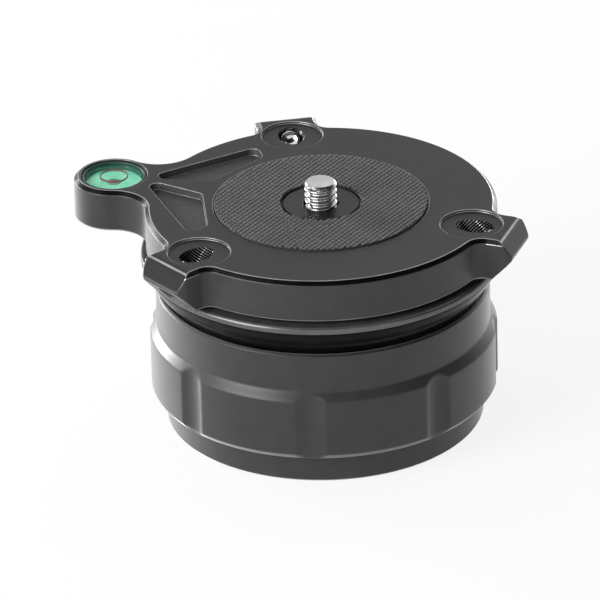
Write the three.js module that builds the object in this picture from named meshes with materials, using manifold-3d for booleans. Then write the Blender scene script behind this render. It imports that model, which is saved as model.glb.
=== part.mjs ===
// Leveling head for a tripod: a half ball carries the platform, and a quarter turn of the
// fluted lock ring clamps it in any lean. Millimetres, +Z up, origin on the tripod thread's
// axis in the base's bottom face. The camera side of the product is -Y.
import * as THREE from 'three';
import { mergeVertices } from 'three/addons/utils/BufferGeometryUtils.js';
import Module from 'manifold-3d';

const wasm = await Module();
wasm.setup();

// Fits
const runningGap = 0.3; // between pieces that slide, turn or rest on each other
const threadGap = 0.35; // between the plain cylinders that stand for large threads
const overrun = 1; // how far a cutter passes its surface

// Ball joint
const ballBulge = 8.0427; // the ball's radius beyond the rim of its bowl
const ballWall = 7.7;
const ballHoleRoom = 2.48; // beyond the dish's hole, so that the column can lean
const lipDrop = 2.14; // the lip's lower edge below the platform
const lipHeight = 1.25;
const coneDrop = 0.6; // where the cone above the lip ends, below the platform
const coneWall = 2.56; // outside the spigot's thread
const linerThickness = 0.85;
const dishThickness = 1.03;
const dishInset = 9.32; // the dish's edge inside the ball's inner radius
const domeThickness = 2.56;
const domeFlatRadius = 6.84;
const domeInset = 3.25; // the dome's edge inside the dish's
const dishSeat = 6.58; // the dome's edge beyond the dish's hole

// Base
const baseHeight = 28.4; // top edge of the lock ring
const bandInset = 2.91; // plain band at the bottom, inside the grip
const bandEdge = 0.43;
const shoulderHeight = 5.64;
const cupFloor = 3.93;
const recessLand = 2.56; // flat under the column's flange, inside the shallow ring
const recessRim = 3.59; // flat outside the shallow ring
const recessDepth = 0.43;
const neckWall = 2.05; // carries the lock ring's thread
const neckDrop = 13.17; // below the lock ring's top edge

// Lock ring
const gripRadius = 34.2;
const gripWall = 5.73; // down to the thread
const gripClearance = 0.6; // above the base's shoulder
const gripLowerEdge = 0.85;
const gripLowerEdgeHeight = 1.11;
const gripTop = 18.64;
const gripUpperEdgeHeight = 1.88;
const upperBandInset = 1.37;
const rimEdge = 0.34;
const rimLand = 0.7327; // top face between the band and the bowl
const ringWall = 1.54; // round the seat ring
const flangeThickness = 0.85;
const liftGap = 0.68; // room under the flange when the ring is let down
const fluteCount = 8;
const fluteDepth = 0.77;
const fluteCutterRadius = 6.84;
const fluteTurn = -5; // degrees from +X to the first flute
const lockTurn = 90; // degrees from locked to loose

// Seat ring and its keys
const skirtWall = 1.88;
const skirtOverlap = 2.14; // the skirt's end below the key pins
const linerInset = 0.85; // outside the seat ring's bore
const linerRim = 1.03; // inside its edge
const glideThickness = 0.43;
const keyCount = 3;
const keyPinRadius = 1;
const keyPinDrop = 2.82; // below the neck's top
const keySlotRise = 2.48; // above the key pins
const keyTurn = 30;
const stopPinRadius = 0.75;
const stopPinInset = 1.2; // inside the band
const stopPinRise = 1.28; // into the lock ring
const stopPinDepth = 2.91;
const stopSlotRoom = 0.68; // above the stop pin
const stopTurn = 200;

// Tripod thread and column
const tripodMinorRadius = 3.97; // 3/8 inch, 16 turns per inch
const tripodMajorRadius = 4.76;
const tripodPitch = 1.5875;
const bushingRadius = 6.84;
const bushingFlangeRim = 1.37;
const bushingFlangeThickness = 2.14;
const bushingInset = 0.17;
const columnRadius = 6.4;
const columnFlangeRim = 2.39; // beyond the screws' circle
const columnFlangeThickness = 3.42;
const columnBoreRadius = 4.95;
const columnWeb = 2.48; // left between the bore and the dome bolt's hole
const columnEdge = 0.51;
const columnScrewCount = 3;
const columnScrewRoom = 2.22; // their circle beyond the bushing's flange
const columnScrewRadius = 1.25;
const columnScrewHeadRadius = 2.4;
const columnScrewLength = 6.8;
const columnScrewSocket = 0.8;
const columnScrewSocketDepth = 1.03;
const domeBoltRadius = 2.5;
const domeBoltHeadRadius = 4.25;
const domeBoltHeadHeight = 2.99;
const domeBoltReach = 8.12; // shank below the dome's flat
const domeBoltSocket = 2;
const domeBoltSocketDepth = 1.71;
const springWasherCount = 2;
const springWasherRadius = 5.47;
const springWasherThickness = 0.68;
const springWasherDish = 0.21;

// Platform
const platformRise = 8.05; // above the lock ring
const platformThickness = 8.55;
const platformRadius = 34.46;
const platformEdge = 0.85;
const armTurn = 160; // degrees from +X to the arm with the level
const bossReach = 8.81; // the level's centre beyond the platform's edge
const bossWall = 1.62; // round the level
const armFillet = 6.84;
const lobeCount = 3;
const lobeHalfWidth = 6.16;
const lobeReach = 4.53; // the top face beyond the platform's edge
const lobeSpread = 2.31; // the tip beyond the top face
const lobeTipDrop = 3.93; // the tip below the top face
const lobeUndercut = 4.36; // where the underside meets the bottom face, inside the tip
const lobeFillet = 2.56;
const lobeCorner = 2.22;
const spigotInset = 3.85; // the thread into the ball, inside the ball's inner radius
const spigotWall = 2.82;
const spigotLength = 3.42;
const counterboreInset = 3.42; // its centre inside the platform's edge
const counterboreRadius = 6.16;
const counterboreDepth = 0.51;
const screwHoleShift = 0.6; // the sloping hole's mouth beyond the counterbore's centre
const screwHoleRadius = 2.8;
const screwLean = 45; // degrees between the hole's axis and the platform
const pocketDepth = 1.5;
const pocketCorner = 1.6;
const pocketPadWall = 2.65; // between the pad and the pocket's inner wall
const pocketInnerStart = 10; // degrees from the arm to the inner wall's ends
const pocketInnerEnd = 38.8;
const pocketWidth = 3.25; // out to the centre of the corner farthest from the arm
const pocketOuterTurn = 39.9;
const pocketTipInset = 10.09; // centre of the round tip, from the level's centre
const pocketTipSide = 2.56;
const pocketTipRadius = 1.54;

// Set screws
const setScrewLength = 5;
const setScrewInset = 2.4; // cup end below the mouth at rest
const setScrewEdge = 0.4;
const setScrewCupRadius = 1.5;
const setScrewCupDepth = 0.8;
const setScrewSocket = 1.25;
const setScrewSocketDepth = 2.5;

// Friction pad and stud
const padRadius = 20.86;
const padHoleRoom = 0.43; // round the stud's disc
const padRecess = 0.68;
const padProud = 0.35;
const studMajorRadius = 3.175; // 1/4 inch, 20 turns per inch
const studMinorRadius = 2.55;
const studPitch = 1.27;
const studProud = 4.7;
const studTipEdge = 0.4;
const studDiscRadius = 7.5;
const studDiscThickness = 2.1;
const studNeckRadius = 5.5;
const studHeadRadius = 4.2;
const studHeadThickness = 1.37;
const bushingNutWall = 2.65; // outside the stud bushing's neck
const bushingNutThickness = 2.74;
const bushingNutNotch = 1.03;
const bushingNutNotchCount = 4;

// Bull's eye level
const vialRadius = 6.33;
const vialWeb = 1.54; // platform left under the level
const vialWall = 0.51;
const vialFloor = 0.85;
const vialSink = 0.26; // rim below the top face
const lensThickness = 1.03;
const lensSink = 0.1; // below the cup's rim
const bubbleRadius = 1.35;
const bubbleHeight = 0.6;
const targetRadius = 2.82;
const targetWidth = 0.3;
const targetHeight = 0.17;

// How finely round pieces are divided
const outerSegments = 60;
const innerSegments = 36;
const smallSegments = 18;
const arcStep = THREE.MathUtils.degToRad(9);
const hexSides = 6;

// Heights and radii that follow from the sizes above
const bushingFlangeRadius = bushingRadius + bushingFlangeRim;
const columnScrewRing = bushingFlangeRadius + columnScrewRoom;
const columnFlangeRadius = columnScrewRing + columnFlangeRim;
const upperBandRadius = gripRadius - upperBandInset;
const gripLowerEdgeRadius = gripRadius - gripLowerEdge;
const rimRadius = upperBandRadius - rimLand;
const bandRadius = gripRadius - bandInset;
const recessInnerRadius = columnFlangeRadius + recessLand;
const recessOuterRadius = bandRadius - recessRim;
const threadRadius = gripRadius - gripWall;
const neckRadius = threadRadius - threadGap;
const neckInnerRadius = neckRadius - neckWall;
const skirtRadius = neckInnerRadius - runningGap;
const seatInnerRadius = skirtRadius - skirtWall;
const seatOuterRadius = upperBandRadius - ringWall - threadGap;
const linerInnerRadius = seatInnerRadius + linerInset;
const linerOuterRadius = seatOuterRadius - linerRim;
const ballRadius = rimRadius + ballBulge;
const linerSphere = ballRadius + runningGap;
const seatSphere = linerSphere + linerThickness + runningGap;
const pivotHeight = baseHeight + Math.sqrt(linerSphere ** 2 - rimRadius ** 2);
const ballInnerRadius = ballRadius - ballWall;
const dishSphere = ballInnerRadius - runningGap;
const domeSphere = dishSphere - dishThickness - runningGap;
const dishRadius = ballInnerRadius - dishInset;
const domeRadius = dishRadius - domeInset;
const dishHoleRadius = domeRadius - dishSeat;
const ballHoleRadius = dishHoleRadius + ballHoleRoom;
const spigotRadius = ballInnerRadius - spigotInset;
const spigotInnerRadius = spigotRadius - spigotWall;
const coneTopRadius = spigotRadius + coneWall;
const platformBottom = baseHeight + platformRise;
const platformTop = platformBottom + platformThickness;
const lipBottom = platformBottom - lipDrop;
const coneTop = platformBottom - coneDrop;
const gripBottom = shoulderHeight + gripClearance;
const gripUpperEdgeTop = gripTop + gripUpperEdgeHeight;
const neckTop = baseHeight - neckDrop;
const keyPinHeight = neckTop - keyPinDrop;
const keySlotTop = keyPinHeight + keySlotRise;
const skirtBottom = keyPinHeight - skirtOverlap;
const stopPinDistance = bandRadius - stopPinInset;
const stopPinTop = gripBottom + stopPinRise;
const stopSlotTop = stopPinTop + stopSlotRoom;
const flangeBottom = neckTop + liftGap;
const flangeTop = flangeBottom + flangeThickness;
const glideBottom = flangeTop + runningGap;
const seatBottom = glideBottom + glideThickness + runningGap;
const lipRadius = sphereRadiusAt(ballRadius, lipBottom);
const spigotBottom = platformBottom - spigotLength;
const ballTop = platformBottom - runningGap;
const domeFlat = sphereHeightAt(domeSphere, domeFlatRadius);
const columnTop = domeFlat - runningGap;
const columnFoot = cupFloor + runningGap;
const columnFlangeTop = columnFoot + columnFlangeThickness;
const columnBoreTop = domeFlat - domeBoltReach - runningGap - columnWeb;
const bushingFlangeTop = columnFoot + bushingFlangeThickness;

const bossDistance = platformRadius + bossReach;
const bossRadius = vialRadius + bossWall;
const lobeTopReach = platformRadius + lobeReach;
const lobeTipReach = lobeTopReach + lobeSpread;
const lobeFootReach = lobeTipReach - lobeUndercut;
const counterboreDistance = platformRadius - counterboreInset;
const screwHoleDistance = counterboreDistance + screwHoleShift;
const pocketInnerRadius = padRadius + pocketPadWall;
const pocketOuterDistance = pocketInnerRadius + pocketWidth;
const pocketTipDistance = bossDistance - pocketTipInset;
const padInnerRadius = studDiscRadius + padHoleRoom;
const setScrewRadius = screwHoleRadius - runningGap;
const bushingNutRadius = studNeckRadius + bushingNutWall;
const lobeDirections = around(lobeCount, 180 / lobeCount, (degrees) => degrees);
const studHeadBottom = platformBottom - bushingNutThickness + runningGap;
const vialHeight = platformThickness - vialWeb - vialSink;
const vialBottom = platformTop - vialSink - vialHeight;
const vialInnerRadius = vialRadius - vialWall;
const fluidRadius = vialInnerRadius - runningGap;
const fluidBottom = vialBottom + vialFloor + runningGap;
const lensTop = platformTop - vialSink - lensSink;
const fluidTop = lensTop - lensThickness - runningGap;

const finishes = {
  blackAnodised: { color: 0x2b2b2d, roughness: 0.45, metalness: 0.6 },
  glossBlack: { color: 0x0b0b0c, roughness: 0.15, metalness: 0.5 },
  bareAluminium: { color: 0xa9abad, roughness: 0.4, metalness: 1 },
  stainless: { color: 0xc9cacc, roughness: 0.22, metalness: 1 },
  blackSteel: { color: 0x202124, roughness: 0.4, metalness: 0.8 },
  springSteel: { color: 0x8c8f93, roughness: 0.3, metalness: 1 },
  paddingRubber: { color: 0x4a4b4d, roughness: 0.85, metalness: 0 },
  acetal: { color: 0xe6e3da, roughness: 0.5, metalness: 0 },
  vialPlastic: { color: 0x9fe8c8, roughness: 0.2, metalness: 0 },
  fluid: { color: 0x3fd79b, roughness: 0.1, metalness: 0 },
  air: { color: 0xd8fff0, roughness: 0.05, metalness: 0 },
  targetRed: { color: 0xb8342c, roughness: 0.4, metalness: 0 },
  clearAcrylic: { color: 0xf2f7f5, roughness: 0.05, metalness: 0 },
};

function sphereRadiusAt(sphere, height) {
  return Math.sqrt(sphere ** 2 - (pivotHeight - height) ** 2);
}

function sphereHeightAt(sphere, radius) {
  return pivotHeight - Math.sqrt(sphere ** 2 - radius ** 2);
}

function place(distance, degrees) {
  const angle = THREE.MathUtils.degToRad(degrees);
  return [distance * Math.cos(angle), distance * Math.sin(angle)];
}

// Closed solid from a geometry: only positions, shared corners merged, faces pointing out
function solid(geometry) {
  const plain = geometry.index ? geometry.toNonIndexed() : geometry.clone();
  plain.deleteAttribute('normal');
  plain.deleteAttribute('uv');
  const merged = mergeVertices(plain);
  const corners = merged.index.array;
  const position = merged.attributes.position;
  const [a, b, c] = [new THREE.Vector3(), new THREE.Vector3(), new THREE.Vector3()];
  const kept = [];
  let volume = 0;
  for (let i = 0; i < corners.length; i += 3) {
    const [p, q, r] = corners.slice(i, i + 3);
    if (p === q || q === r || r === p) continue;
    a.fromBufferAttribute(position, p);
    b.fromBufferAttribute(position, q);
    c.fromBufferAttribute(position, r);
    volume += a.dot(b.cross(c));
    kept.push([p, q, r]);
  }
  const outward = volume < 0 ? kept.map(([p, q, r]) => [p, r, q]) : kept;
  return new wasm.Manifold(new wasm.Mesh({
    numProp: 3,
    vertProperties: new Float32Array(position.array),
    triVerts: new Uint32Array(outward.flat()),
  }));
}

function toGeometry(body) {
  const mesh = body.getMesh();
  const geometry = new THREE.BufferGeometry();
  geometry.setAttribute('position', new THREE.BufferAttribute(mesh.vertProperties, mesh.numProp));
  geometry.setIndex(new THREE.BufferAttribute(mesh.triVerts, 1));
  return geometry;
}

function piece(name, body, finish) {
  const mesh = new THREE.Mesh(toGeometry(body), new THREE.MeshStandardMaterial(finishes[finish]));
  mesh.name = name;
  return mesh;
}

// Turned solid about Z from [radius, height] points
function turned(profile, segments = outerSegments) {
  const points = profile.map(([radius, height]) => new THREE.Vector2(radius, height));
  if (profile[0][0] > 0) points.push(points[0].clone());
  const geometry = new THREE.LatheGeometry(points, segments);
  geometry.rotateX(Math.PI / 2);
  return solid(geometry);
}

function cylinder(radius, bottom, top, segments = smallSegments) {
  return turned([[0, bottom], [radius, bottom], [radius, top], [0, top]], segments);
}

function ring(inner, outer, bottom, top, segments = innerSegments) {
  return turned([[inner, bottom], [outer, bottom], [outer, top], [inner, top]], segments);
}

function hexagon(halfFlats, bottom, top) {
  return cylinder(halfFlats / Math.cos(Math.PI / hexSides), bottom, top, hexSides);
}

function prism(points, bottom, top) {
  const shape = new THREE.Shape(points.map(([x, y]) => new THREE.Vector2(x, y)));
  const geometry = new THREE.ExtrudeGeometry(shape, { depth: top - bottom, bevelEnabled: false });
  geometry.translate(0, 0, bottom);
  return solid(geometry);
}

// Points of an arc, from one angle to the other, both in radians
function arc(x, y, radius, from, to) {
  const steps = Math.max(2, Math.ceil(Math.abs(to - from) / arcStep));
  return Array.from({ length: steps + 1 }, (_, i) => {
    const angle = from + (to - from) * (i / steps);
    return [x + radius * Math.cos(angle), y + radius * Math.sin(angle)];
  });
}

// Points [radius, height] along a sphere about the pivot, between two radii
function spherePoints(sphere, fromRadius, toRadius) {
  const from = Math.asin(fromRadius / sphere);
  const to = Math.asin(toRadius / sphere);
  return arc(0, pivotHeight, sphere, from - Math.PI / 2, to - Math.PI / 2);
}

function turnedAbout(body, degrees) {
  return body.rotate([0, 0, degrees]);
}

function moved(body, x, y, z = 0) {
  return body.translate([x, y, z]);
}

// The same cutter or piece, repeated about Z
function around(count, firstDegrees, make) {
  return Array.from({ length: count }, (_, i) => make(firstDegrees + (i * 360) / count, i));
}

function cutAll(body, cutters) {
  return cutters.reduce((left, cutter) => left.subtract(cutter), body);
}

// Base

function keyPin(degrees) {
  return radialAt(cylinder(keyPinRadius, seatInnerRadius + runningGap, neckRadius - runningGap), degrees);
}

function keyHole(degrees) {
  const hole = cylinder(keyPinRadius + runningGap, neckInnerRadius - overrun, neckRadius + overrun);
  return radialAt(hole, degrees);
}

// Lays a pin made along Z outwards at the key pins' height
function radialAt(body, degrees) {
  return turnedAbout(moved(body.rotate([0, 90, 0]), 0, 0, keyPinHeight), degrees);
}

function stopPin(gap) {
  const [x, y] = place(stopPinDistance, stopTurn);
  const bottom = shoulderHeight - stopPinDepth - gap;
  return moved(cylinder(stopPinRadius + gap, bottom, stopPinTop, smallSegments), x, y);
}

function columnScrew(degrees, gap) {
  const [x, y] = place(columnScrewRing, degrees);
  const headTop = bushingInset + columnScrewHeadRadius - columnScrewRadius;
  const shank = columnScrewRadius + gap;
  const head = columnScrewHeadRadius + gap;
  const bottom = gap > 0 ? -overrun : bushingInset;
  const top = bushingInset + columnScrewLength + gap;
  const profile = [
    [0, bottom],
    [head, bottom],
    [head, bushingInset],
    [shank, headTop],
    [shank, top],
    [0, top],
  ];
  return moved(turned(profile, smallSegments), x, y);
}

function columnScrewDrive(degrees) {
  const [x, y] = place(columnScrewRing, degrees);
  const top = bushingInset + columnScrewSocketDepth;
  return moved(hexagon(columnScrewSocket, bushingInset - overrun, top), x, y);
}

function baseCup() {
  const cup = turned([
    [bushingRadius + runningGap, 0],
    [recessInnerRadius, 0],
    [recessInnerRadius, recessDepth],
    [recessOuterRadius, recessDepth],
    [recessOuterRadius, 0],
    [bandRadius - bandEdge, 0],
    [bandRadius, bandEdge],
    [bandRadius, shoulderHeight - bandEdge],
    [bandRadius - bandEdge, shoulderHeight],
    [neckRadius, shoulderHeight],
    [neckRadius, neckTop],
    [neckInnerRadius, neckTop],
    [neckInnerRadius, cupFloor],
    [bushingRadius + runningGap, cupFloor],
  ]);
  const keyHoles = around(keyCount, keyTurn, keyHole);
  const screwHoles = around(columnScrewCount, keyTurn, (degrees) => columnScrew(degrees, runningGap));
  return cutAll(cup, [...keyHoles, ...screwHoles, stopPin(runningGap)]);
}

// The tripod thread is cut as rings, one for each turn
function tripodThread() {
  const turns = Math.floor((bushingFlangeTop - bushingInset) / tripodPitch);
  const start = bushingInset - overrun;
  const end = bushingFlangeTop + overrun;
  const profile = [[0, start], [tripodMajorRadius, start], [tripodMajorRadius, bushingInset]];
  for (let turn = 0; turn < turns; turn += 1) {
    const height = bushingInset + turn * tripodPitch;
    profile.push([tripodMinorRadius, height + tripodPitch / 2]);
    profile.push([tripodMajorRadius, height + tripodPitch]);
  }
  profile.push([tripodMinorRadius, bushingFlangeTop], [tripodMinorRadius, end], [0, end]);
  return turned(profile, smallSegments);
}

function tripodBushing() {
  const blank = turned([
    [0, bushingInset],
    [bushingRadius, bushingInset],
    [bushingRadius, columnFoot],
    [bushingFlangeRadius, columnFoot],
    [bushingFlangeRadius, bushingFlangeTop],
    [0, bushingFlangeTop],
  ], innerSegments);
  return blank.subtract(tripodThread());
}

function column() {
  const blank = turned([
    [columnBoreRadius, columnBoreTop],
    [columnBoreRadius, bushingFlangeTop + runningGap],
    [bushingFlangeRadius + runningGap, bushingFlangeTop + runningGap],
    [bushingFlangeRadius + runningGap, columnFoot],
    [columnFlangeRadius, columnFoot],
    [columnFlangeRadius, columnFlangeTop - columnEdge],
    [columnFlangeRadius - columnEdge, columnFlangeTop],
    [columnRadius, columnFlangeTop],
    [columnRadius, columnTop - columnEdge],
    [columnRadius - columnEdge, columnTop],
    [domeBoltRadius + runningGap, columnTop],
    [domeBoltRadius + runningGap, domeFlat - domeBoltReach - runningGap],
    [0, domeFlat - domeBoltReach - runningGap],
    [0, columnBoreTop],
  ], innerSegments);
  const holes = around(columnScrewCount, keyTurn, (degrees) => columnScrew(degrees, runningGap));
  return cutAll(blank, holes);
}

function domeBolt() {
  const headBottom = springWasherTop(springWasherCount) + runningGap;
  const headTop = headBottom + domeBoltHeadHeight;
  const shankBottom = domeFlat - domeBoltReach;
  const shank = cylinder(domeBoltRadius, shankBottom, headBottom + overrun);
  const head = cylinder(domeBoltHeadRadius, headBottom, headTop);
  const socket = hexagon(domeBoltSocket, headTop - domeBoltSocketDepth, headTop + overrun);
  return shank.add(head).subtract(socket);
}

function springWasherTop(count) {
  const each = springWasherThickness + springWasherDish + runningGap;
  return domeFlat + domeThickness + count * each;
}

function springWasher(index) {
  const bottom = springWasherTop(index) + runningGap;
  const inner = domeBoltRadius + runningGap;
  return turned([
    [inner, bottom + springWasherDish],
    [springWasherRadius, bottom],
    [springWasherRadius, bottom + springWasherThickness],
    [inner, bottom + springWasherDish + springWasherThickness],
  ], smallSegments);
}

// Lock

function lockRing() {
  const boreRadius = seatOuterRadius + threadGap;
  const blank = turned([
    [threadRadius, gripBottom],
    [gripLowerEdgeRadius, gripBottom],
    [gripRadius, gripBottom + gripLowerEdgeHeight],
    [gripRadius, gripTop],
    [upperBandRadius, gripUpperEdgeTop],
    [upperBandRadius, baseHeight - rimEdge],
    [upperBandRadius - rimEdge, baseHeight],
    [sphereRadiusAt(linerSphere, baseHeight), baseHeight],
    [boreRadius, sphereHeightAt(linerSphere, boreRadius)],
    [boreRadius, flangeTop],
    [skirtRadius + threadGap, flangeTop],
    [skirtRadius + threadGap, flangeBottom],
    [threadRadius, flangeBottom],
  ]);
  const flutes = around(fluteCount, fluteTurn, (degrees) => {
    const [x, y] = place(gripRadius + fluteCutterRadius - fluteDepth, degrees);
    const bottom = gripBottom - overrun;
    const top = gripUpperEdgeTop + overrun;
    return moved(cylinder(fluteCutterRadius, bottom, top, innerSegments), x, y);
  });
  return cutAll(blank, [...flutes, stopSlot()]);
}

// Slot under the lock ring in which the stop pin allows a quarter turn
function stopSlot() {
  const halfWidth = stopPinRadius + runningGap;
  const start = THREE.MathUtils.degToRad(stopTurn);
  const end = start + THREE.MathUtils.degToRad(lockTurn);
  const slack = halfWidth / stopPinDistance;
  const outer = arc(0, 0, stopPinDistance + halfWidth, start - slack, end + slack);
  const inner = arc(0, 0, stopPinDistance - halfWidth, end + slack, start - slack);
  return prism([...outer, ...inner], gripBottom - overrun, stopSlotTop);
}

function glideWasher() {
  const inner = skirtRadius + threadGap;
  const outer = seatOuterRadius - threadGap;
  return ring(inner, outer, glideBottom, glideBottom + glideThickness);
}

function seatRing() {
  const blank = turned([
    [seatInnerRadius, skirtBottom],
    [skirtRadius, skirtBottom],
    [skirtRadius, seatBottom],
    [seatOuterRadius, seatBottom],
    ...spherePoints(seatSphere, seatOuterRadius, seatInnerRadius),
  ]);
  const slots = around(keyCount, keyTurn, (degrees) => {
    const half = keyPinRadius + runningGap;
    const outline = [
      [seatInnerRadius - overrun, -half],
      [skirtRadius + overrun, -half],
      [skirtRadius + overrun, half],
      [seatInnerRadius - overrun, half],
    ];
    return turnedAbout(prism(outline, skirtBottom - overrun, keySlotTop), degrees);
  });
  return cutAll(blank, slots);
}

function seatLiner() {
  return turned([
    ...spherePoints(linerSphere + linerThickness, linerInnerRadius, linerOuterRadius),
    ...spherePoints(linerSphere, linerOuterRadius, linerInnerRadius),
  ], innerSegments);
}

// Ball joint

function holdDownDome() {
  const inner = domeSphere - domeThickness;
  const hole = domeBoltRadius + runningGap;
  const innerRadius = domeRadius * (inner / domeSphere);
  const flatTop = domeFlat + domeThickness;
  return turned([
    [hole, domeFlat],
    ...spherePoints(domeSphere, domeFlatRadius, domeRadius),
    ...spherePoints(inner, innerRadius, sphereRadiusAt(inner, flatTop)),
    [hole, flatTop],
  ], innerSegments);
}

function frictionDish() {
  const inner = dishSphere - dishThickness;
  const shrink = inner / dishSphere;
  return turned([
    ...spherePoints(dishSphere, dishHoleRadius, dishRadius),
    ...spherePoints(inner, dishRadius * shrink, dishHoleRadius * shrink),
  ], innerSegments);
}

function halfBall() {
  const ledge = spigotBottom - runningGap;
  const threaded = spigotRadius + runningGap;
  return turned([
    ...spherePoints(ballRadius, ballHoleRadius, lipRadius),
    [lipRadius, lipBottom + lipHeight],
    [coneTopRadius, coneTop],
    [coneTopRadius, ballTop],
    [threaded, ballTop],
    [threaded, ledge],
    ...spherePoints(ballInnerRadius, sphereRadiusAt(ballInnerRadius, ledge), ballHoleRadius),
  ]);
}

// Platform, drawn with its arm along +X and then turned

function filletBetweenCircles(distance, first, second, fillet) {
  const toFirst = first + fillet;
  const toSecond = second + fillet;
  const x = (toFirst ** 2 - toSecond ** 2 + distance ** 2) / (2 * distance);
  return [x, Math.sqrt(toFirst ** 2 - x ** 2)];
}

function lobeOutline(degrees) {
  const x = Math.sqrt((platformRadius + lobeFillet) ** 2 - (lobeHalfWidth + lobeFillet) ** 2);
  const y = lobeHalfWidth + lobeFillet;
  const share = Math.atan2(y, x);
  const corner = [lobeTipReach - lobeCorner, lobeHalfWidth - lobeCorner];
  const half = [
    ...arc(corner[0], corner[1], lobeCorner, 0, Math.PI / 2),
    ...arc(x, y, lobeFillet, -Math.PI / 2, share - Math.PI),
  ];
  const mirrored = half.map(([u, v]) => [u, -v]).reverse();
  const turn = THREE.MathUtils.degToRad(degrees);
  const points = [...mirrored, ...half];
  return points.map(([u, v]) => [
    u * Math.cos(turn) - v * Math.sin(turn),
    u * Math.sin(turn) + v * Math.cos(turn),
  ]);
}

function platformOutline() {
  const [x, y] = filletBetweenCircles(bossDistance, platformRadius, bossRadius, armFillet);
  const onBoss = Math.atan2(y, x - bossDistance);
  const onDisc = Math.atan2(y, x);
  const armHalf = [
    ...arc(bossDistance, 0, bossRadius, 0, onBoss),
    ...arc(x, y, armFillet, onBoss - Math.PI, onDisc - Math.PI).slice(1),
  ];
  const points = [...armHalf];
  for (const degrees of lobeDirections) {
    const lobe = lobeOutline(degrees);
    const before = points[points.length - 1];
    points.push(...discArc(before, lobe[0]), ...lobe);
  }
  const mirrored = armHalf.slice(1).map(([u, v]) => [u, -v]).reverse();
  points.push(...discArc(points[points.length - 1], mirrored[0]), ...mirrored);
  return points;
}

// Points on the disc's edge strictly between two of its points, counter-clockwise
function discArc(from, to) {
  const start = Math.atan2(from[1], from[0]);
  let end = Math.atan2(to[1], to[0]);
  if (end < start) end += 2 * Math.PI;
  return arc(0, 0, platformRadius, start, end).slice(1, -1);
}

// Prism across a lobe from points [distance, height], for the cuts that shape its end
function acrossLobe(points, degrees) {
  const half = lobeHalfWidth + overrun;
  const body = prism(points, -half, half).rotate([90, 0, 0]);
  return turnedAbout(body, degrees);
}

function lobeCuts(degrees) {
  const tip = platformTop - lobeTipDrop;
  const outer = lobeTipReach + 2 * overrun;
  const slope = (lobeTipReach - lobeTopReach) / lobeTipDrop;
  const rise = (tip - platformBottom) / (lobeTipReach - lobeFootReach);
  const above = [
    [lobeTipReach, tip],
    [outer, tip],
    [outer, platformTop + overrun],
    [lobeTopReach - overrun * slope, platformTop + overrun],
  ];
  const below = [
    [lobeTipReach, tip],
    [lobeFootReach - overrun / rise, platformBottom - overrun],
    [outer, platformBottom - overrun],
    [outer, tip],
  ];
  return [acrossLobe(above, degrees), acrossLobe(below, degrees)];
}

// Stands a solid made along Z on a lobe's sloping axis, its zero at the mouth of the hole
function onScrewAxis(body, degrees) {
  const floor = platformTop - counterboreDepth;
  const leaned = body.rotate([0, screwLean - 90, 0]);
  return turnedAbout(moved(leaned, screwHoleDistance, 0, floor), degrees);
}

function lobeHole(degrees) {
  const [x, y] = place(counterboreDistance, degrees);
  const floor = platformTop - counterboreDepth;
  const above = platformTop + overrun;
  const counterbore = moved(cylinder(counterboreRadius, floor, above, innerSegments), x, y);
  const reach = 2 * platformThickness;
  const hole = cylinder(screwHoleRadius, -reach, counterboreRadius);
  return [counterbore, onScrewAxis(hole, degrees)];
}

// The two pockets mirror each other about the arm, each with four rounded corners
function pocket(side) {
  const inner = pocketInnerRadius + pocketCorner;
  const corners = [
    { centre: place(inner, pocketInnerStart), radius: pocketCorner },
    { centre: [pocketTipDistance, pocketTipSide], radius: pocketTipRadius },
    { centre: place(pocketOuterDistance, pocketOuterTurn), radius: pocketCorner },
    { centre: place(inner, pocketInnerEnd), radius: pocketCorner },
  ];
  const points = [];
  corners.forEach(({ centre, radius }, i) => {
    const from = tangentTurn(corners.at(i - 1), corners[i]);
    const to = tangentTurn(corners[i], corners[(i + 1) % corners.length]);
    const sweep = THREE.MathUtils.euclideanModulo(to - from, 2 * Math.PI);
    points.push(...arc(centre[0], centre[1], radius, from, from + sweep));
  });
  return side > 0 ? points : points.map(([x, y]) => [x, -y]).reverse();
}

// Direction from a corner's centre to where the straight side to the next corner touches it
function tangentTurn(corner, next) {
  const x = next.centre[0] - corner.centre[0];
  const y = next.centre[1] - corner.centre[1];
  return Math.atan2(y, x) - Math.acos((corner.radius - next.radius) / Math.hypot(x, y));
}

function platformBlank() {
  const shape = new THREE.Shape(platformOutline().map(([x, y]) => new THREE.Vector2(x, y)));
  const geometry = new THREE.ExtrudeGeometry(shape, {
    depth: platformThickness - 2 * platformEdge,
    bevelThickness: platformEdge,
    bevelSize: platformEdge,
    bevelOffset: -platformEdge,
    bevelSegments: 1,
  });
  geometry.translate(0, 0, platformBottom + platformEdge);
  return solid(geometry);
}

function platform() {
  const spigot = ring(spigotInnerRadius, spigotRadius, spigotBottom, platformBottom + overrun);
  const above = platformTop + overrun;
  const padSeat = cylinder(padRadius + runningGap, platformTop - padRecess, above, outerSegments);
  const discFloor = platformTop - studDiscThickness - runningGap;
  const discSeat = cylinder(studDiscRadius + runningGap, discFloor, above, innerSegments);
  const neckHole = cylinder(studNeckRadius + runningGap, platformBottom - overrun, above, innerSegments);
  const vialSeat = cylinder(vialRadius + runningGap, vialBottom - runningGap, above, innerSegments);
  const pockets = [-1, 1].map((side) => prism(pocket(side), platformTop - pocketDepth, above));
  return cutAll(platformBlank().add(spigot), [
    ...lobeDirections.flatMap(lobeCuts),
    ...lobeDirections.flatMap(lobeHole),
    padSeat,
    discSeat,
    neckHole,
    moved(vialSeat, bossDistance, 0),
    ...pockets,
  ]);
}

function frictionPad() {
  const bottom = platformTop - padRecess + runningGap;
  return ring(padInnerRadius, padRadius, bottom, platformTop + padProud, outerSegments);
}

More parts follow.
